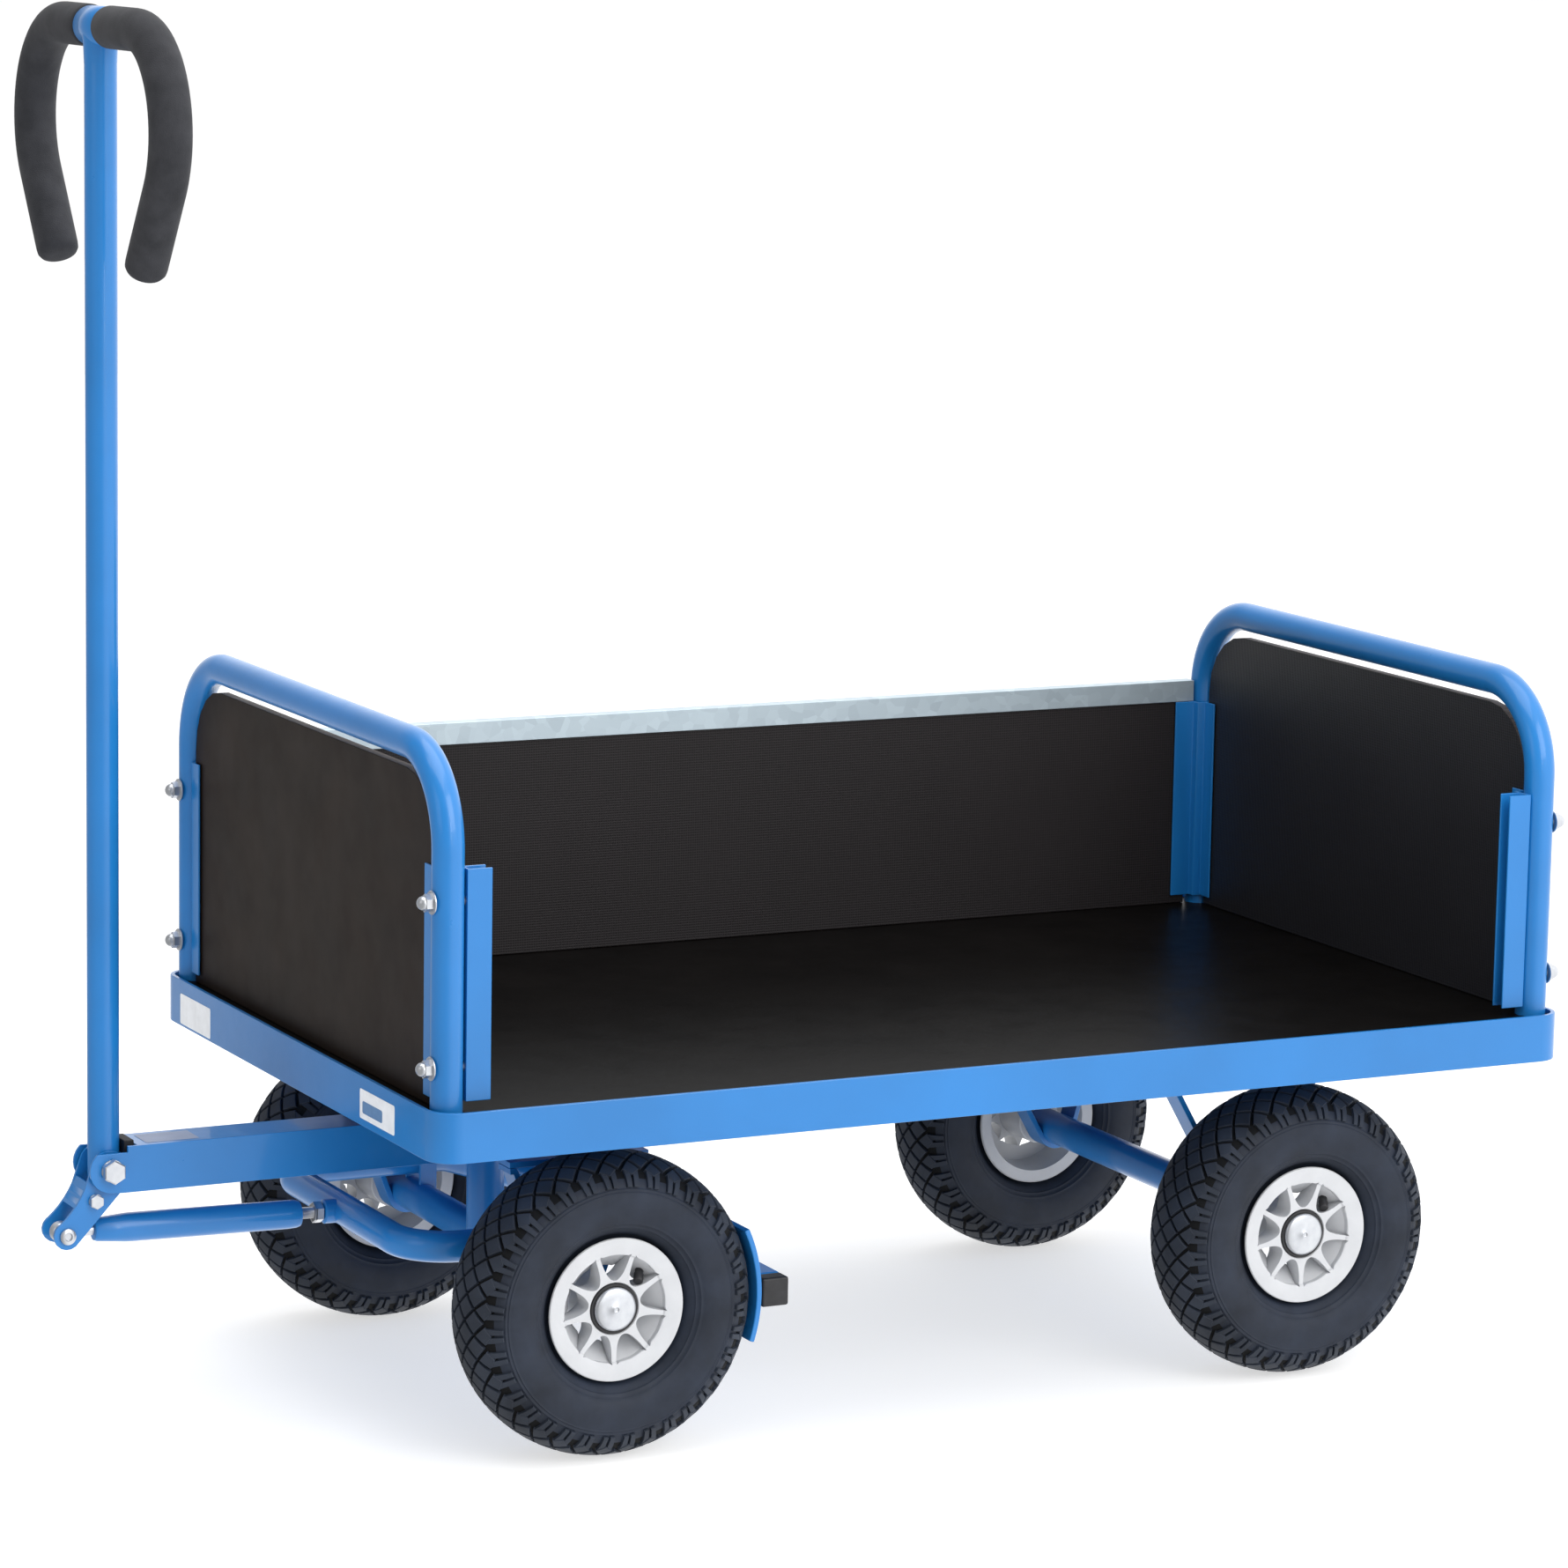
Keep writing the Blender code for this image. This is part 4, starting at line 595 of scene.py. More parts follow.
# Length, width and height of a side wall's fine rings.
SIDE_RINGS = (
    (0.0490, 0.0007, 0.0007), (0.0515, 0.0005, 0.0005), (0.0790, 0.0010, 0.0006), (0.0835, 0.0008, 0.0006),
)


def sidewall_relief(length):
    """The height of the fine rings on the side walls."""
    span = abs(length)
    return sum(height * math.exp(-(((span - at) / width) ** 2)) for at, width, height in SIDE_RINGS)


def carcass(shape):
    """The tyre's skin under the tread, closed inside against the rim."""
    end, gap = SECTION_LENGTHS[-1], 0.001
    wall = np.linspace(TREAD_HALF + gap, end, 58)
    crown = np.linspace(gap - TREAD_HALF, TREAD_HALF - gap, 25)
    turns = [360.0 * step / TYRE_FACETS for step in range(TYRE_FACETS)]
    rings = []
    for length in [*-wall[::-1], *crown, *wall]:
        rings.append([on_tyre(turn, length, sidewall_relief(length)) for turn in turns])
    inner, foot = BEAD_RADIUS - 0.007, SECTION_POINTS[-1][0] - 0.004
    for y in (foot, -foot):
        rings.append([(inner * math.cos(a), y, inner * math.sin(a)) for a in np.radians(turns)])
    rings.append(rings[0])
    shape.loops(rings, closed=False)


def tread_block(shape, corners, height):
    """One rubber block over four (angle, length) corners, with a chamfered top and feet in the skin."""
    chamfer, root, cells = 0.0005, 0.0015, BLOCK_CELLS
    corners = np.array(corners, float)
    centre = corners.mean(axis=0)

    def spot(u, v, scale, level):
        near = corners[0] * (1 - u) + corners[1] * u
        far = corners[3] * (1 - u) + corners[2] * u
        angle, length = centre + (near * (1 - v) + far * v - centre) * scale
        return on_tyre(angle, length, level)

    share = [index / cells for index in range(cells + 1)]
    points = [spot(u, v, BLOCK_TOP, height) for v in share for u in share]
    faces = []
    for row in range(cells):
        for column in range(cells):
            first = row * (cells + 1) + column
            faces.append((first, first + 1, first + cells + 2, first + cells + 1))
    rim = [(u, 0.0) for u in share] + [(1.0, v) for v in share[1:]]
    rim += [(u, 1.0) for u in share[::-1][1:]] + [(0.0, v) for v in share[::-1][1:-1]]
    numbers = [round(v * cells) * (cells + 1) + round(u * cells) for u, v in rim]
    for scale, level in ((1.0, height - chamfer), (BLOCK_FOOT, -root)):
        start = len(points)
        points += [spot(u, v, scale, level) for u, v in rim]
        for index in range(len(rim)):
            after = (index + 1) % len(rim)
            faces.append((numbers[index], start + index, start + after, numbers[after]))
        numbers = [start + index for index in range(len(rim))]
    shape.add(points, faces)


def tyre_shape():
    """A pneumatic tyre about the Y axis: diamonds over the crown, and split lugs on both shoulders."""
    shape = Shape()
    carcass(shape)
    skin = len(shape.faces)
    half_pitch = PITCH / 2
    reach_angle, reach = half_pitch * DIAMOND_SHARE, ROW * DIAMOND_SHARE
    for index in range(PITCHES):
        for step in range(-2, 3):
            angle, centre = PITCH * index + (half_pitch if step % 2 else 0.0), ROW * step
            diamond = [(angle - reach_angle, centre), (angle, centre - reach)]
            diamond += [(angle + reach_angle, centre), (angle, centre + reach)]
            tread_block(shape, diamond, TREAD_HEIGHT)
        for side in (-1, 1):
            angle = PITCH * index + half_pitch
            tread_block(shape, [(angle + turn, side * length) for turn, length in KITE], KITE_HEIGHT)
            for hand in (-1, 1):
                lug = [(angle + hand * turn, side * length) for turn, length in LUG]
                tread_block(shape, lug, LUG_HEIGHT)
    return shape, skin


def tyre_pattern():
    """The tyre with its side walls and its blocks in two rubbers, the blocks lighter, and painted shade in
    the grooves between them.
    """
    shape, skin = tyre_shape()
    made = make("tyre_skin", shape, TYRE_RUBBER, 30.0)
    made.data.materials.append(TREAD_RUBBER)
    made.data.materials.append(GROOVE_PAINTED_SHADE)
    for polygon in made.data.polygons:
        spot = polygon.center
        if polygon.index >= skin:
            polygon.material_index = 1
        # Painted shade: the skin between the blocks on the crown gets the near-black groove material.
        elif math.hypot(spot.x, spot.z) > SHADED_GROOVE_RADIUS:
            polygon.material_index = 2
    return made


# The outer radius, level and share of the width of a window cutter's rings.
WINDOW_RINGS = ((WINDOW_OUTER, 0.0300, 1.0), (WINDOW_OUTER, 0.0230, 1.0), (0.0310, 0.0030, 0.72))


def window_cutter(turn):
    """A cutter for one window, which narrows towards the back so that its outer wall slopes."""
    rings = []
    cos, sin = math.cos(turn), math.sin(turn)
    for outer, level, scale in WINDOW_RINGS:
        depth, half = outer - WINDOW_INNER, WINDOW_HALF * scale
        shares = np.linspace(0.0, 1.0, 13)[1:]
        side = [(WINDOW_INNER + depth * share ** 2, half * share) for share in shares]
        side += [(math.sqrt(outer ** 2 - w ** 2) + 0.0004, w) for w in np.linspace(half, 0.0, 5)[1:-1]]
        outline = side + [(outer + 0.0006, 0.0)] + [(r, -w) for r, w in side[::-1]]
        rings.append([(r * cos - w * sin, level, r * sin + w * cos) for r, w in outline])
    return rings


RIM_PROFILE = [
    (0.0162, 0.0245), (0.0218, 0.0245), (0.0221, 0.0262), (0.0227, 0.0270), (0.0455, 0.0272),
    (0.0468, 0.0286), (0.0598, 0.0318), (0.0609, 0.0315), (0.0615, 0.0304), (0.0612, 0.0292),
    (0.0540, 0.0288), (0.0536, -0.0288), (0.0612, -0.0292), (0.0615, -0.0306), (0.0603, -0.0318),
    (0.0500, -0.0308), (0.0488, -0.0020), (0.0470, 0.0040), (0.0218, 0.0040), (0.0215, -0.0352),
    (0.0205, -0.0360), (0.0162, -0.0360),
]
HUB_PROFILE = [
    (0.0188, 0.0246), (0.0217, 0.0246), (0.0217, 0.0266), (0.0212, 0.0272), (0.0192, 0.0272),
    (0.0188, 0.0266),
]
CAP_PROFILE = [
    (0.0, 0.0250), (0.0110, 0.0250), (0.0184, 0.0250), (0.0187, 0.0258), (0.0187, 0.0286),
    (0.0182, 0.0298), (0.0165, 0.0307), (0.0110, 0.0315), (0.0034, 0.0318), (0.0029, 0.0322),
    (0.0022, 0.0322), (0.0017, 0.0315), (0.0010, 0.0313), (0.0, 0.0313),
]


def rim_mesh():
    """The moulded rim about the Y axis, its outer face at +Y, with nine petal windows."""
    body = make("rim_work", Shape().lathe(RIM_PROFILE, 96), RIM_PLASTIC)
    cutters = Shape()
    for index in range(RIM_WINDOWS):
        cutters.loops(window_cutter(2 * math.pi * (index + 0.25) / RIM_WINDOWS))
    tool = make("rim_tool", cutters, RIM_PLASTIC)
    cut = body.modifiers.new("windows", "BOOLEAN")
    cut.object = tool
    cut.operation = "DIFFERENCE"
    cut.solver = "EXACT"
    graph = bpy.context.evaluated_depsgraph_get()
    mesh = bpy.data.meshes.new_from_object(body.evaluated_get(graph))
    bpy.data.objects.remove(body)
    bpy.data.objects.remove(tool)
    mesh.shade_smooth()
    mesh.set_sharp_from_angle(angle=math.radians(30))
    return mesh


# The valve's X, Y and radius, before its turn.
VALVE_STATIONS = (
    (0.0440, 0.0080, 0.0046), (0.0405, 0.0120, 0.0040), (0.0375, 0.0155, 0.0036), (0.0362, 0.0172, 0.0034),
    (0.0361, 0.0173, 0.0042), (0.0310, 0.0242, 0.0042), (0.0302, 0.0253, 0.0032),
)


def valve_shape():
    """A black rubber valve with its cap, leaning out of the rim's well."""
    turn = Matrix.Rotation(math.radians(VALVE_TURN), 4, "Y")
    path = [(x, y, 0.0) for x, y, _ in VALVE_STATIONS]
    return Shape().sweep(path, [size for _, _, size in VALVE_STATIONS], 14, turn)


def build_wheels():
    """The four wheels with their tyres, rims, hub rings, valves and axle caps, from shared meshes."""
    tyre = tyre_pattern()
    rim = linked("rim_moulding", rim_mesh())
    cap = make("axle_cap_dome", Shape().lathe(CAP_PROFILE, 64), ZINC)
    hub = make("hub_ring", Shape().lathe(HUB_PROFILE, 64), BLACK_PLASTIC)
    valve = make("valve_stem", valve_shape(), BLACK_PLASTIC, 50.0)
    for corner in CORNERS:
        turn = Matrix.Rotation(0.0 if "left" in corner else math.pi, 4, "Z")
        place = Matrix.Translation(PIVOTS[corner + "_spin"]) @ turn
        wheel = corner + "_wheel"
        put(placed(tyre, corner, place), wheel, "rubber_tyre", "tyre_" + corner)
        put(placed(rim, corner, place), wheel, "rim_plastic", "rim_" + corner)
        put(placed(hub, corner, place), wheel, "black_plastic")
        put(placed(valve, corner, place), wheel, "black_plastic")
        carrier = "bogie" if "front" in corner else "platform"
        put(placed(cap, corner, place), carrier, "zinc", "axle_cap_" + corner)
    for pattern in (tyre, rim, cap, hub, valve):
        bpy.data.objects.remove(pattern)


def placed(pattern, corner, place):
    """Another object with a pattern's mesh, named for its corner."""
    made = linked(pattern.name + "_" + corner, pattern.data)
    made.matrix_world = place
    return made


# --- platform


def build_hoops():
    """The two bent tubes, drawn round and smooth along the CAD's own path."""
    for end in ("front", "rear"):
        low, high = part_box(end + "_hoop")
        radius = (high.x - low.x) / 2
        x, y, top = (low.x + high.x) / 2, high.y - radius, high.z - radius
        corners = [(x, -y, low.z), (x, -y, top), (x, y, top), (x, y, low.z)]
        shape = Shape().sweep(bent(corners, HOOP_BEND, 20), radius, 40)
        put(make(end + "_hoop_tube", shape, BLUE), "platform", "blue_paint", end + "_hoop")


def build_boards():
    """The deck, the end panels and the side wall, with sawn edges, and the wall's galvanised cap."""
    boards = (
        ("deck_board", "deck_sheet", DECK_FILM, "platform", "film_board", 0.0006, 2),
        ("front_panel", "front_board", FRONT_FILM, "platform", "film_board", 0.0008, 0),
        ("rear_panel", "rear_board", REAR_MESH, "platform", "film_board", 0.0008, 0),
        ("side_wall_panel", "side_wall_board", WALL_MESH, "side_wall", "mesh_board", 0.0008, 1),
    )
    for *board, axis in boards:
        made = softened(*board)
        made.data.materials.append(EDGE)
        for polygon in made.data.polygons:
            polygon.material_index = 0 if abs(polygon.normal[axis]) > 0.7 else 1
    softened("side_wall_cap_rail", "side_wall_cap", GALVANISED, "side_wall", "galvanised", 0.0006)


def build_frame():
    """The painted platform frame and the guide profiles, with rounded folds."""
    softened("platform_frame", "platform_frame_shell", BLUE, "platform", "blue_paint", 0.0012)
    for corner in CORNERS:
        softened("post_profile_" + corner, "post_guide_" + corner, BLUE, "platform", "blue_paint", 0.0007)


def hex_piece(shape, radius, low, high, place=None):
    """A bolt head or nut along Y, with its corners chamfered at the outer end."""
    hexagon = arc((0.0, 0.0), radius, 30.0, 330.0, 5)
    levels = ((low, 1.0), (high - HEX_CHAMFER, 1.0), (high, 0.90))
    rings = [[(x * scale, level, z * scale) for x, z in hexagon] for level, scale in levels]
    shape.loops(rings, place=place)


def cap_nut_shape(grip):
    """A bolt through a post along Y, from a round head at -grip to a washer, a nut and its dome at 0."""
    shape = Shape()
    dome = arc((0.0, -0.0075), 0.0062, 0.0, 80.0, 7)
    shape.lathe([(0.0, -0.0085), (0.0062, -0.0080)] + dome + [(0.0, -0.0013)], 28)
    hex_piece(shape, 0.0076, -0.0140, -0.0070)
    washer = [(0.0, -0.0148), (0.0094, -0.0148), (0.0100, -0.0144), (0.0100, -0.0137), (0.0096, -0.0133)]
    shape.lathe(washer + [(0.0, -0.0133)], 32)
    shape.sweep([(0.0, -0.0140, 0.0), (0.0, 0.002 - grip, 0.0)], 0.0039, 16)
    head = ((0.0, 0.0), (0.0030, 0.0), (0.0050, 0.0012), (0.0057, 0.0028), (0.0, 0.0028))
    return shape.lathe([(radius, along - grip) for radius, along in head], 24)


def build_post_bolts():
    """The eight post bolts, from one shared mesh."""
    low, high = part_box("post_bolt_front_left_upper")
    pattern = make("post_fastener", cap_nut_shape(high.x - low.x), ZINC, 32.0)
    for corner in CORNERS:
        for level in ("lower", "upper"):
            name = corner + "_" + level
            low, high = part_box("post_bolt_" + name)
            out = 1 if "front" in corner else -1
            tip = Vector((high.x if out > 0 else low.x, (low.y + high.y) / 2, (low.z + high.z) / 2))
            place = Matrix.Translation(tip) @ Matrix.Rotation(math.radians(-90.0 * out), 4, "Z")
            put(placed(pattern, name, place), "platform", "zinc", "post_bolt_" + name)
    bpy.data.objects.remove(pattern)


def build_labels():
    """Blank labels on the frame's front face, and a pale grey-blue painted highlight on the tow beam's top,
    all as thin patches.
    """
    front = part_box("platform_frame")[1].x
    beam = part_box("tow_beam")[1]
    patches = (
        ("label_right", LABEL_WHITE, "X", (-0.272, 0.2805), (-0.196, 0.3080), front, "platform"),
        ("label_left", LABEL_WHITE, "X", (0.156, 0.2845), (0.231, 0.3096), front, "platform"),
        ("label_left_band", LABEL_BAND, "X", (0.162, 0.2895), (0.205, 0.3000), front + 0.00015, "platform"),
        # Painted highlight: a pale patch on the tow beam's top.
        ("beam_top_painted_highlight", BEAM_TOP_HIGHLIGHT, "Z", (beam.x - 0.100, -0.015), (beam.x - 0.052, 0.016), beam.z, "bogie"),
    )
    for name, material, axis, low, high, level, body in patches:
        (u0, v0), (u1, v1) = np.array(low) + LABEL_CORNER, np.array(high) - LABEL_CORNER
        outline = []
        for turn, centre in enumerate(((u1, v1), (u0, v1), (u0, v0), (u1, v0))):
            outline += arc(centre, LABEL_CORNER, 90.0 * turn, 90.0 * turn + 90.0, 4)
        shape = Shape().extrude(outline, axis, level + LABEL_LOW, level + LABEL_HIGH)
        put(make(name, shape, material), body, "blue_paint")


# --- axles and bogie


def band(path, thickness):
    """The outline of a flat bar of one thickness, bent along a path of flat points."""
    points = [Vector(point) for point in path]
    ways = [(after - before).normalized() for before, after in zip(points, points[1:])]
    left, right = [], []
    for index, point in enumerate(points):
        before, after = ways[max(index - 1, 0)], ways[min(index, len(ways) - 1)]
        way = (before + after).normalized()
        offset = Vector((-way.y, way.x)) * (thickness / 2 / before.dot(way))
        left.append(tuple(point + offset))
        right.append(tuple(point - offset))
    return left + right[::-1]


def axle_shape(centre, spindle, top, slopes, flange):
    """An axle tube with its spindles and two bent straps, whose legs slope up to flanges under a height."""
    shape = Shape()
    x, z = centre.x, centre.z
    rounded, inset = AXLE_RADIUS * 0.93, AXLE_HALF - 0.001
    ends = ((-AXLE_HALF, rounded), (-inset, AXLE_RADIUS), (inset, AXLE_RADIUS), (AXLE_HALF, rounded))
    shape.turned(Vector((x, 0.0, z)), Vector((0.0, 1.0, 0.0)), ends, 40)
    shape.sweep([(x, -spindle, z), (x, spindle, z)], SPINDLE_RADIUS, 28)
    bend, level = AXLE_RADIUS + 0.002, top - STRAP_THICKNESS / 2

    def knee(slope):
        angle = math.radians(slope)
        return bend * math.sin(angle) + (level - z + bend * math.cos(angle)) / math.tan(angle)

    ahead, behind = map(knee, slopes)
    path = [(x + ahead + flange, level), (x + ahead, level)]
    path += arc((x, z), bend, slopes[0] - 90.0, -90.0 - slopes[1], 16)
    path += [(x - behind, level), (x - behind - flange, level)]
    for side in (1, -1):
        start = side * STRAP_Y - STRAP_WIDTH / 2
        shape.extrude(band(path, STRAP_THICKNESS), "Y", start, start + STRAP_WIDTH)
    return shape


def build_axles():
    """Both axle weldments, with the steering post and the brake arms' guides on the front one."""
    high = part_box("rear_axle")[1]
    rear = axle_shape(PIVOTS["rear_left_spin"], high.y, high.z, (60.0, 74.0), 0.026)
    put(make("rear_axle_weldment", rear, BLUE, 35.0, 0.0006), "platform", "blue_paint", "rear_axle")
    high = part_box("front_axle")[1]
    centre = PIVOTS["front_left_spin"]
    front = axle_shape(centre, high.y, high.z, (69.0, 69.0), 0.005)
    beam_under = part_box("tow_beam")[0].z
    front.sweep([(centre.x, 0.0, centre.z), (centre.x, 0.0, beam_under)], POST_RADIUS, 36)
    arm_y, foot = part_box("brake_bow")[1].y - TUBE_RADIUS, centre.z + 0.004
    for y in (arm_y, -arm_y):
        outline = []
        for radius, way in ((GUIDE_OUTER, 1), (GUIDE_INNER, -1)):
            outline += [(y + way * radius, foot)]
            outline += arc((y, BOW_LEVEL), radius, 90.0 - 90.0 * way, 90.0 + 90.0 * way, 16)
            outline += [(y - way * radius, foot)]
        front.extrude(outline, "X", centre.x - 0.012, centre.x + 0.004)
    put(make("front_axle_weldment", front, BLUE, 35.0, 0.0005), "bogie", "blue_paint", "front_axle")


def build_turntable():
    """The two races and the cage as smooth pressed rings."""
    x, lip = PIVOTS["bogie_steer"].x, 0.0012
    place = Matrix.Translation((x, 0.0, 0.0)) @ Matrix.Rotation(math.pi / 2, 4, "X")
    rings = (
        ("turntable_upper_ring", "upper_race", "platform", 0.095),
        ("turntable_ball_cage", "ball_cage_ring", "bogie", 0.099),
        ("turntable_lower_ring", "lower_race", "bogie", 0.095),
    )
    for node, name, body, inner in rings:
        low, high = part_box(node)
        outer, under, top = (high.x - low.x) / 2, low.z, high.z
        profile = [(inner, under + lip), (inner + lip, under), (outer - lip, under), (outer, under + lip)]
        profile += [(outer, top - lip), (outer - lip, top), (inner + lip, top), (inner, top - lip)]
        put(make(name, Shape().lathe(profile, 96, place), RING_STEEL), body, "ring_steel", node)


def build_beam():
    """The tow beam, its stop and its pivot bolt."""
    softened("tow_beam", "tow_beam_shell", BLUE, "bogie", "blue_paint", 0.0008)
    softened("drawbar_stop", "stop_block", STOP_RUBBER, "bogie", "rubber", 0.0010)
    hex_bolt("drawbar_pivot_bolt", "pivot_bolt", 0.0104, 0.0080, 0.006, "bogie")
    hex_bolt("lever_bolt", "lever_cross_bolt", 0.0065, 0.0055, 0.004, "drawbar")


def hex_bolt(node, name, head, depth, shank, body):
    """A bolt along Y with a washer face, a chamfered head on the left and a nut on the right."""
    low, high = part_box(node)
    half = (high.y - low.y) / 2
    seat, broad = half - depth, head * 0.93
    shape = Shape()
    shape.sweep([(0.0, 0.001 - half, 0.0), (0.0, half - 0.001, 0.0)], shank - 0.0002, 20)
    face = [(0.0, seat), (broad, seat), (broad, seat + WASHER_FACE), (0.0, seat + WASHER_FACE)]
    for turn in (0.0, math.pi):
        place = Matrix.Rotation(turn, 4, "Z")
        hex_piece(shape, head, seat + 0.0006, half, place)
        shape.lathe(face, 32, place)
    made = make(name, shape, ZINC, 32.0)
    made.matrix_world = Matrix.Translation((low + high) / 2)
    put(made, body, "zinc", node)


# --- drawbar


def handle_line(side):
    """The middle line of one arm of the handle, from the drawbar's middle out, round and down."""
    low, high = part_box("grip_left")
    grip, x = (high.x - low.x) / 2, (low.x + high.x) / 2
    top, last_angle = high.z - grip, math.radians(HANDLE_TURN)
    curve = arc((HANDLE_REACH - HANDLE_BEND, top - HANDLE_BEND), HANDLE_BEND, 90.0, -HANDLE_TURN, 26)
    last_y, last_z = curve[-1]
    drop = last_z - (low.z + grip * 0.55)
    end_y, end_z = last_y - drop * math.tan(last_angle), last_z - drop
    curve += [(last_y * (1 - s) + end_y * s, last_z * (1 - s) + end_z * s) for s in (0.35, 0.7, 1.0)]
    return [(x, 0.0, top)] + [(x, side * y, z) for y, z in curve]


def build_drawbar():
    """The drawbar's tube, its saddle and the handle bar, and the two foam grips."""
    head = Vector(handle_line(1)[0])
    shape = Shape().sweep([(head.x, 0.0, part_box("drawbar_tube")[0].z), head], TUBE_RADIUS, 48)
    shape.turned(head, Vector((0.0, 0.0, 1.0)), ((-0.030, 0.0136), (-0.015, 0.0142), (0.0, 0.0160)), 48)
    saddle = ((-0.0222, 0.0155), (-0.0212, 0.0165), (0.0212, 0.0165), (0.0222, 0.0155))
    shape.turned(head, Vector((0.0, 1.0, 0.0)), saddle, 40)
    shape.sweep(handle_line(-1)[::-1][2:] + handle_line(1)[1:-2], 0.0088, 16)
    put(make("drawbar_shaft", shape, BLUE, 50.0), "drawbar", "blue_paint", "drawbar_tube")
    for side, hand in (("left", 1), ("right", -1)):
        line = [head + Vector((0.0, hand * y, 0.0)) for y in (0.0232, 0.0240, 0.0265)]
        line += [Vector(point) for point in handle_line(hand)[1:]]
        way = (line[-1] - line[-2]).normalized()
        tail = [line[-1] + way * step for step in (0.0040, 0.0068, 0.0085, 0.0090)]
        radii = [0.0158, 0.0170] + [0.0176] * (len(line) - 2) + [0.0172, 0.0155, 0.0115, 0.0050]
        grip = make("grip_foam_" + side, Shape().sweep(line + tail, radii, 36), FOAM, 60.0)
        put(grip, "drawbar", "foam", "grip_" + side)
    softened("brake_lever", "brake_lever_plates", BLUE, "drawbar", "blue_paint", 0.0005)


# A tip screw's head and recess: the radius, and the distance back from its top.
SCREW_HEAD = (
    (0.0038, 0.0030), (0.0066, 0.0030), (0.0071, 0.0022), (0.0069, 0.0010), (0.0058, 0.0002),
    (0.0036, 0.0), (0.0033, 0.0004), (0.0030, 0.0020), (0.0, 0.0020),
)


def build_tip_screws():
    """The two stub screws at the lever's tip, with round heads and a socket recess."""
    for side, turn in (("left", 0.0), ("right", math.pi)):
        node = "lever_screw_" + side
        low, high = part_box(node)
        inner, outer = sorted((abs(low.y), abs(high.y)))
        profile = [(0.0, inner), (0.0038, inner)] + [(radius, outer - back) for radius, back in SCREW_HEAD]
        made = make("tip_screw_" + side, Shape().lathe(profile, 36), ZINC, 35.0)
        place = Matrix.Translation(((low.x + high.x) / 2, 0.0, (low.z + high.z) / 2))
        made.matrix_world = place @ Matrix.Rotation(turn, 4, "Z")
        put(made, "drawbar", "zinc", node)


# --- brake


def rod_line():
    """The push rod's axis: the eye's middle, its way, and its length to the bow's front tube."""
    back = Vector((PIVOTS["front_left_spin"].x + BOW_AHEAD, 0.0, BOW_LEVEL))
    screw = middle("lever_screw_left")
    tip = Vector((screw.x, 0.0, screw.z))
    return tip, (back - tip).normalized(), (back - tip).length


def build_push_rod():
    """The rod's eye and stud, its painted tube with drawn-in ends, and the lock nut."""
    tip, way, length = rod_line()
    face = length - BOSS_REACH
    ring = [(0.0042, -0.0050), (0.0082, -0.0050), (0.0090, -0.0042)]
    ring += [(radius, -along) for radius, along in ring[::-1]]
    eye = Shape().lathe(ring, 40, Matrix.Translation(tip))
    eye.turned(tip, way, ((0.0078, 0.0046), (0.0110, 0.0056), (0.0130, 0.0050), (0.0277, 0.0048)), 24)
    put(make("rod_eye", eye, ZINC, 35.0), "brake", "zinc", "push_rod_eye")
    nut_room, bare_thread = 0.009, 0.0125
    rear = face - nut_room - bare_thread
    stations = [(0.0280, 0.0070), (0.0284, 0.0090), (0.0310, 0.0101), (0.0560, 0.0123), (0.0600, 0.0125)]
    stations += [(rear - 0.012, 0.0125), (rear - 0.004, 0.0121), (rear - 0.0008, 0.0112), (rear, 0.0080)]
    tube = Shape().turned(tip, way, stations, 36)
    put(make("rod_tube", tube, BLUE, 45.0), "brake", "blue_paint", "push_rod_tube")
    end, half_pitch = face - 0.0003, 0.0005
    ridges = [(rear + 0.0004 + half_pitch * index, 0.0047 if index % 2 else 0.0051) for index in range(26)]
    nut = Shape().turned(tip, way, ridges + [(end, 0.0049)], 20)
    turn = way.to_track_quat("Y", "Z").to_matrix().to_4x4()
    flip = Matrix.Rotation(math.pi, 4, "X")
    hex_piece(nut, 0.0094, 0.0, 0.0080, Matrix.Translation(tip + way * (end - 0.0088)) @ turn)
    hex_piece(nut, 0.0094, 0.0, 0.0016, Matrix.Translation(tip + way * (end - 0.0072)) @ turn @ flip)
    put(make("rod_lock_nut", nut, ZINC, 32.0), "brake", "zinc", "push_rod_nut")


def build_bow():
    """The bow's bent tube with its boss, drawn smooth along the CAD's path."""
    low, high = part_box("brake_bow")
    axle_x, y = PIVOTS["front_left_spin"].x, high.y - TUBE_RADIUS
    front_x = axle_x + BOW_AHEAD
    knees = ((low.x, BOW_DROP), (low.x + 0.02, BOW_DROP), (axle_x - 0.026, BOW_LEVEL), (front_x, BOW_LEVEL))
    path = []
    for side in (1, -1):
        corners = [(x, side * y, level) for x, level in knees]
        arm = bent(corners, BOW_BEND, 6)[:-1]
        arm += bent([corners[2], corners[3], (front_x, 0.0, BOW_LEVEL)], BOW_BEND, 14)[1:]
        path += arm if side > 0 else arm[::-1][1:]
    tip, way, length = rod_line()
    shape = Shape().sweep(path, TUBE_RADIUS, 32)
    boss = ((BOSS_REACH, 0.0090), (0.0200, 0.0105), (0.0050, 0.0105), (0.0, 0.0105))
    shape.turned(tip, way, [(length - back, size) for back, size in boss], 28)
    put(make("brake_bow_tube", shape, BLUE, 50.0), "brake", "blue_paint", "brake_bow")


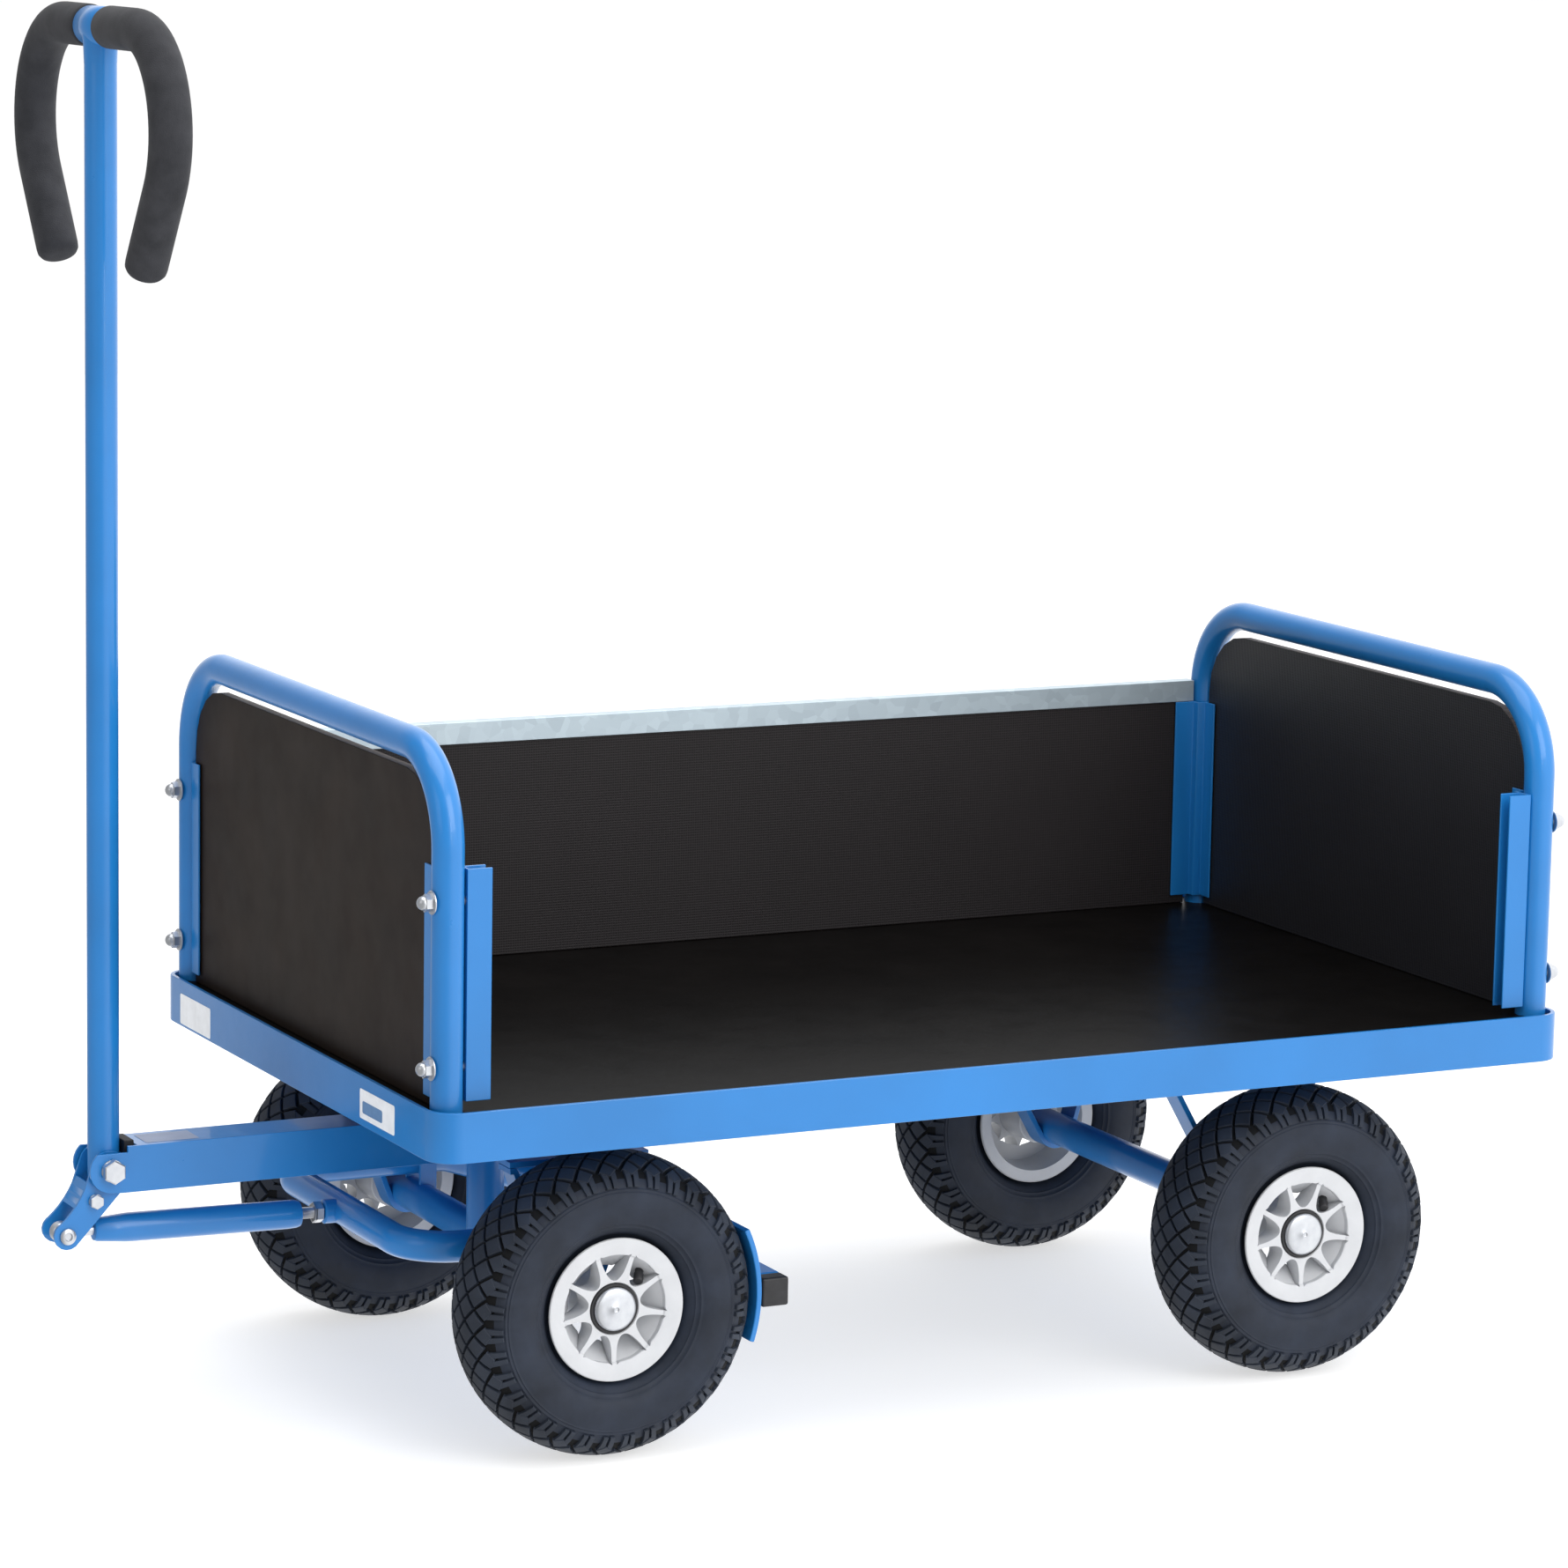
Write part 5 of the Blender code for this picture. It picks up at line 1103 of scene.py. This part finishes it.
def build_brake():
    """The rod, bow, bar, shoes and bar caps."""
    build_push_rod()
    build_bow()
    softened("brake_bar", "brake_cross_bar", BLUE, "brake", "blue_paint", 0.0020)
    axle = PIVOTS["front_left_spin"]
    outline = arc((axle.x, axle.z), SHOE_INNER, SHOE_START, SHOE_END, 24)
    outline += arc((axle.x, axle.z), SHOE_OUTER, SHOE_END, SHOE_START, 24)
    for side in ("left", "right"):
        cap = "bar_end_cap_" + side
        softened("brake_bar_cap_" + side, cap, BLACK_PLASTIC, "brake", "black_plastic", 0.0022)
        low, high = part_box("brake_shoe_" + side)
        shape = Shape().extrude(outline, "Y", low.y, high.y)
        shoe = make("brake_shoe_plate_" + side, shape, BLUE, 35.0, 0.0012)
        put(shoe, "brake", "blue_paint", "brake_shoe_" + side)


# --- studio


def build_studio():
    """A pale floor and cloth, a sky that is dimmer ahead of the cart, and large soft lights."""
    corners = [(FLOOR_HALF * x, FLOOR_HALF * y, 0) for x, y in ((-1, -1), (1, -1), (1, 1), (-1, 1))]
    floor = make("studio_floor", Shape().add(corners, [(0, 1, 2, 3)]), floor_paint())
    floor.visible_glossy = False
    turns = np.linspace(0.0, 2 * math.pi, CLOTH_SIDES + 1)[:-1]
    walls = [(CLOTH_RADIUS * math.cos(a), CLOTH_RADIUS * math.sin(a)) for a in turns]
    cloth = make("studio_cloth", Shape().extrude(walls, "Z", -CLOTH_RADIUS, CLOTH_RADIUS), white_sweep())
    for kind in ("diffuse", "glossy", "transmission", "volume_scatter", "shadow"):
        setattr(cloth, "visible_" + kind, False)
    world = bpy.data.worlds.new("studio")
    bpy.context.scene.world = world
    world.use_nodes = True
    nodes, links = world.node_tree.nodes, world.node_tree.links
    sky = nodes["Background"].inputs
    sky["Color"].default_value = (1, 1, 1, 1)
    place = nodes.new("ShaderNodeTexCoord")
    parts = nodes.new("ShaderNodeSeparateXYZ")
    dimmer = nodes.new("ShaderNodeMapRange")
    for socket, value in (("From Min", -0.25), ("From Max", 0.35), ("To Min", 1.34), ("To Max", 0.38)):
        dimmer.inputs[socket].default_value = value
    links.new(place.outputs["Generated"], parts.inputs[0])
    links.new(parts.outputs["X"], dimmer.inputs["Value"])
    links.new(dimmer.outputs["Result"], sky["Strength"])
    # Name, place, width, length, watts.
    lights = (
        ("key", (-0.8, 3.6, 2.6), 2.6, 2.6, 62.0),
        ("top", (0.3, 0.2, 3.4), 3.0, 3.0, 60.0),
        ("front", (3.6, 1.2, 1.8), 1.8, 1.8, 7.0),
        ("strip", (0.25, 4.3, 1.3), 0.10, 1.7, 7.0),
    )
    for name, place, width, length, power in lights:
        lamp = bpy.data.lights.new(name, "AREA")
        lamp.shape, lamp.size, lamp.size_y, lamp.energy = "RECTANGLE", width, length, power
        turn = (AIM - Vector(place)).to_track_quat("-Z", "Y").to_matrix().to_4x4()
        linked(name, lamp).matrix_world = Matrix.Translation(place) @ turn
    bpy.context.scene.view_settings.view_transform = "Standard"


def build_camera():
    """A long lens from the cart's front left, a little above the platform."""
    lens = bpy.data.cameras.new("view")
    lens.lens = 128.40
    lens.clip_end = 50.0
    camera = linked("view", lens)
    camera.matrix_world = Matrix.Translation(CAMERA_PLACE) @ Matrix(CAMERA_AXES).transposed().to_4x4()
    bpy.context.scene.camera = camera


def dress_bearings():
    """The bearing sleeves keep their CAD shape and get the zinc finish."""
    for corner in CORNERS:
        materials = frame["nodes"]["wheel_bearing_" + corner].data.materials
        materials.clear()
        materials.append(ZINC)


build_camera()
build_studio()
build_frame()
build_boards()
build_hoops()
build_post_bolts()
build_labels()
build_axles()
build_turntable()
build_beam()
build_drawbar()
build_tip_screws()
build_brake()
build_wheels()
dress_bearings()
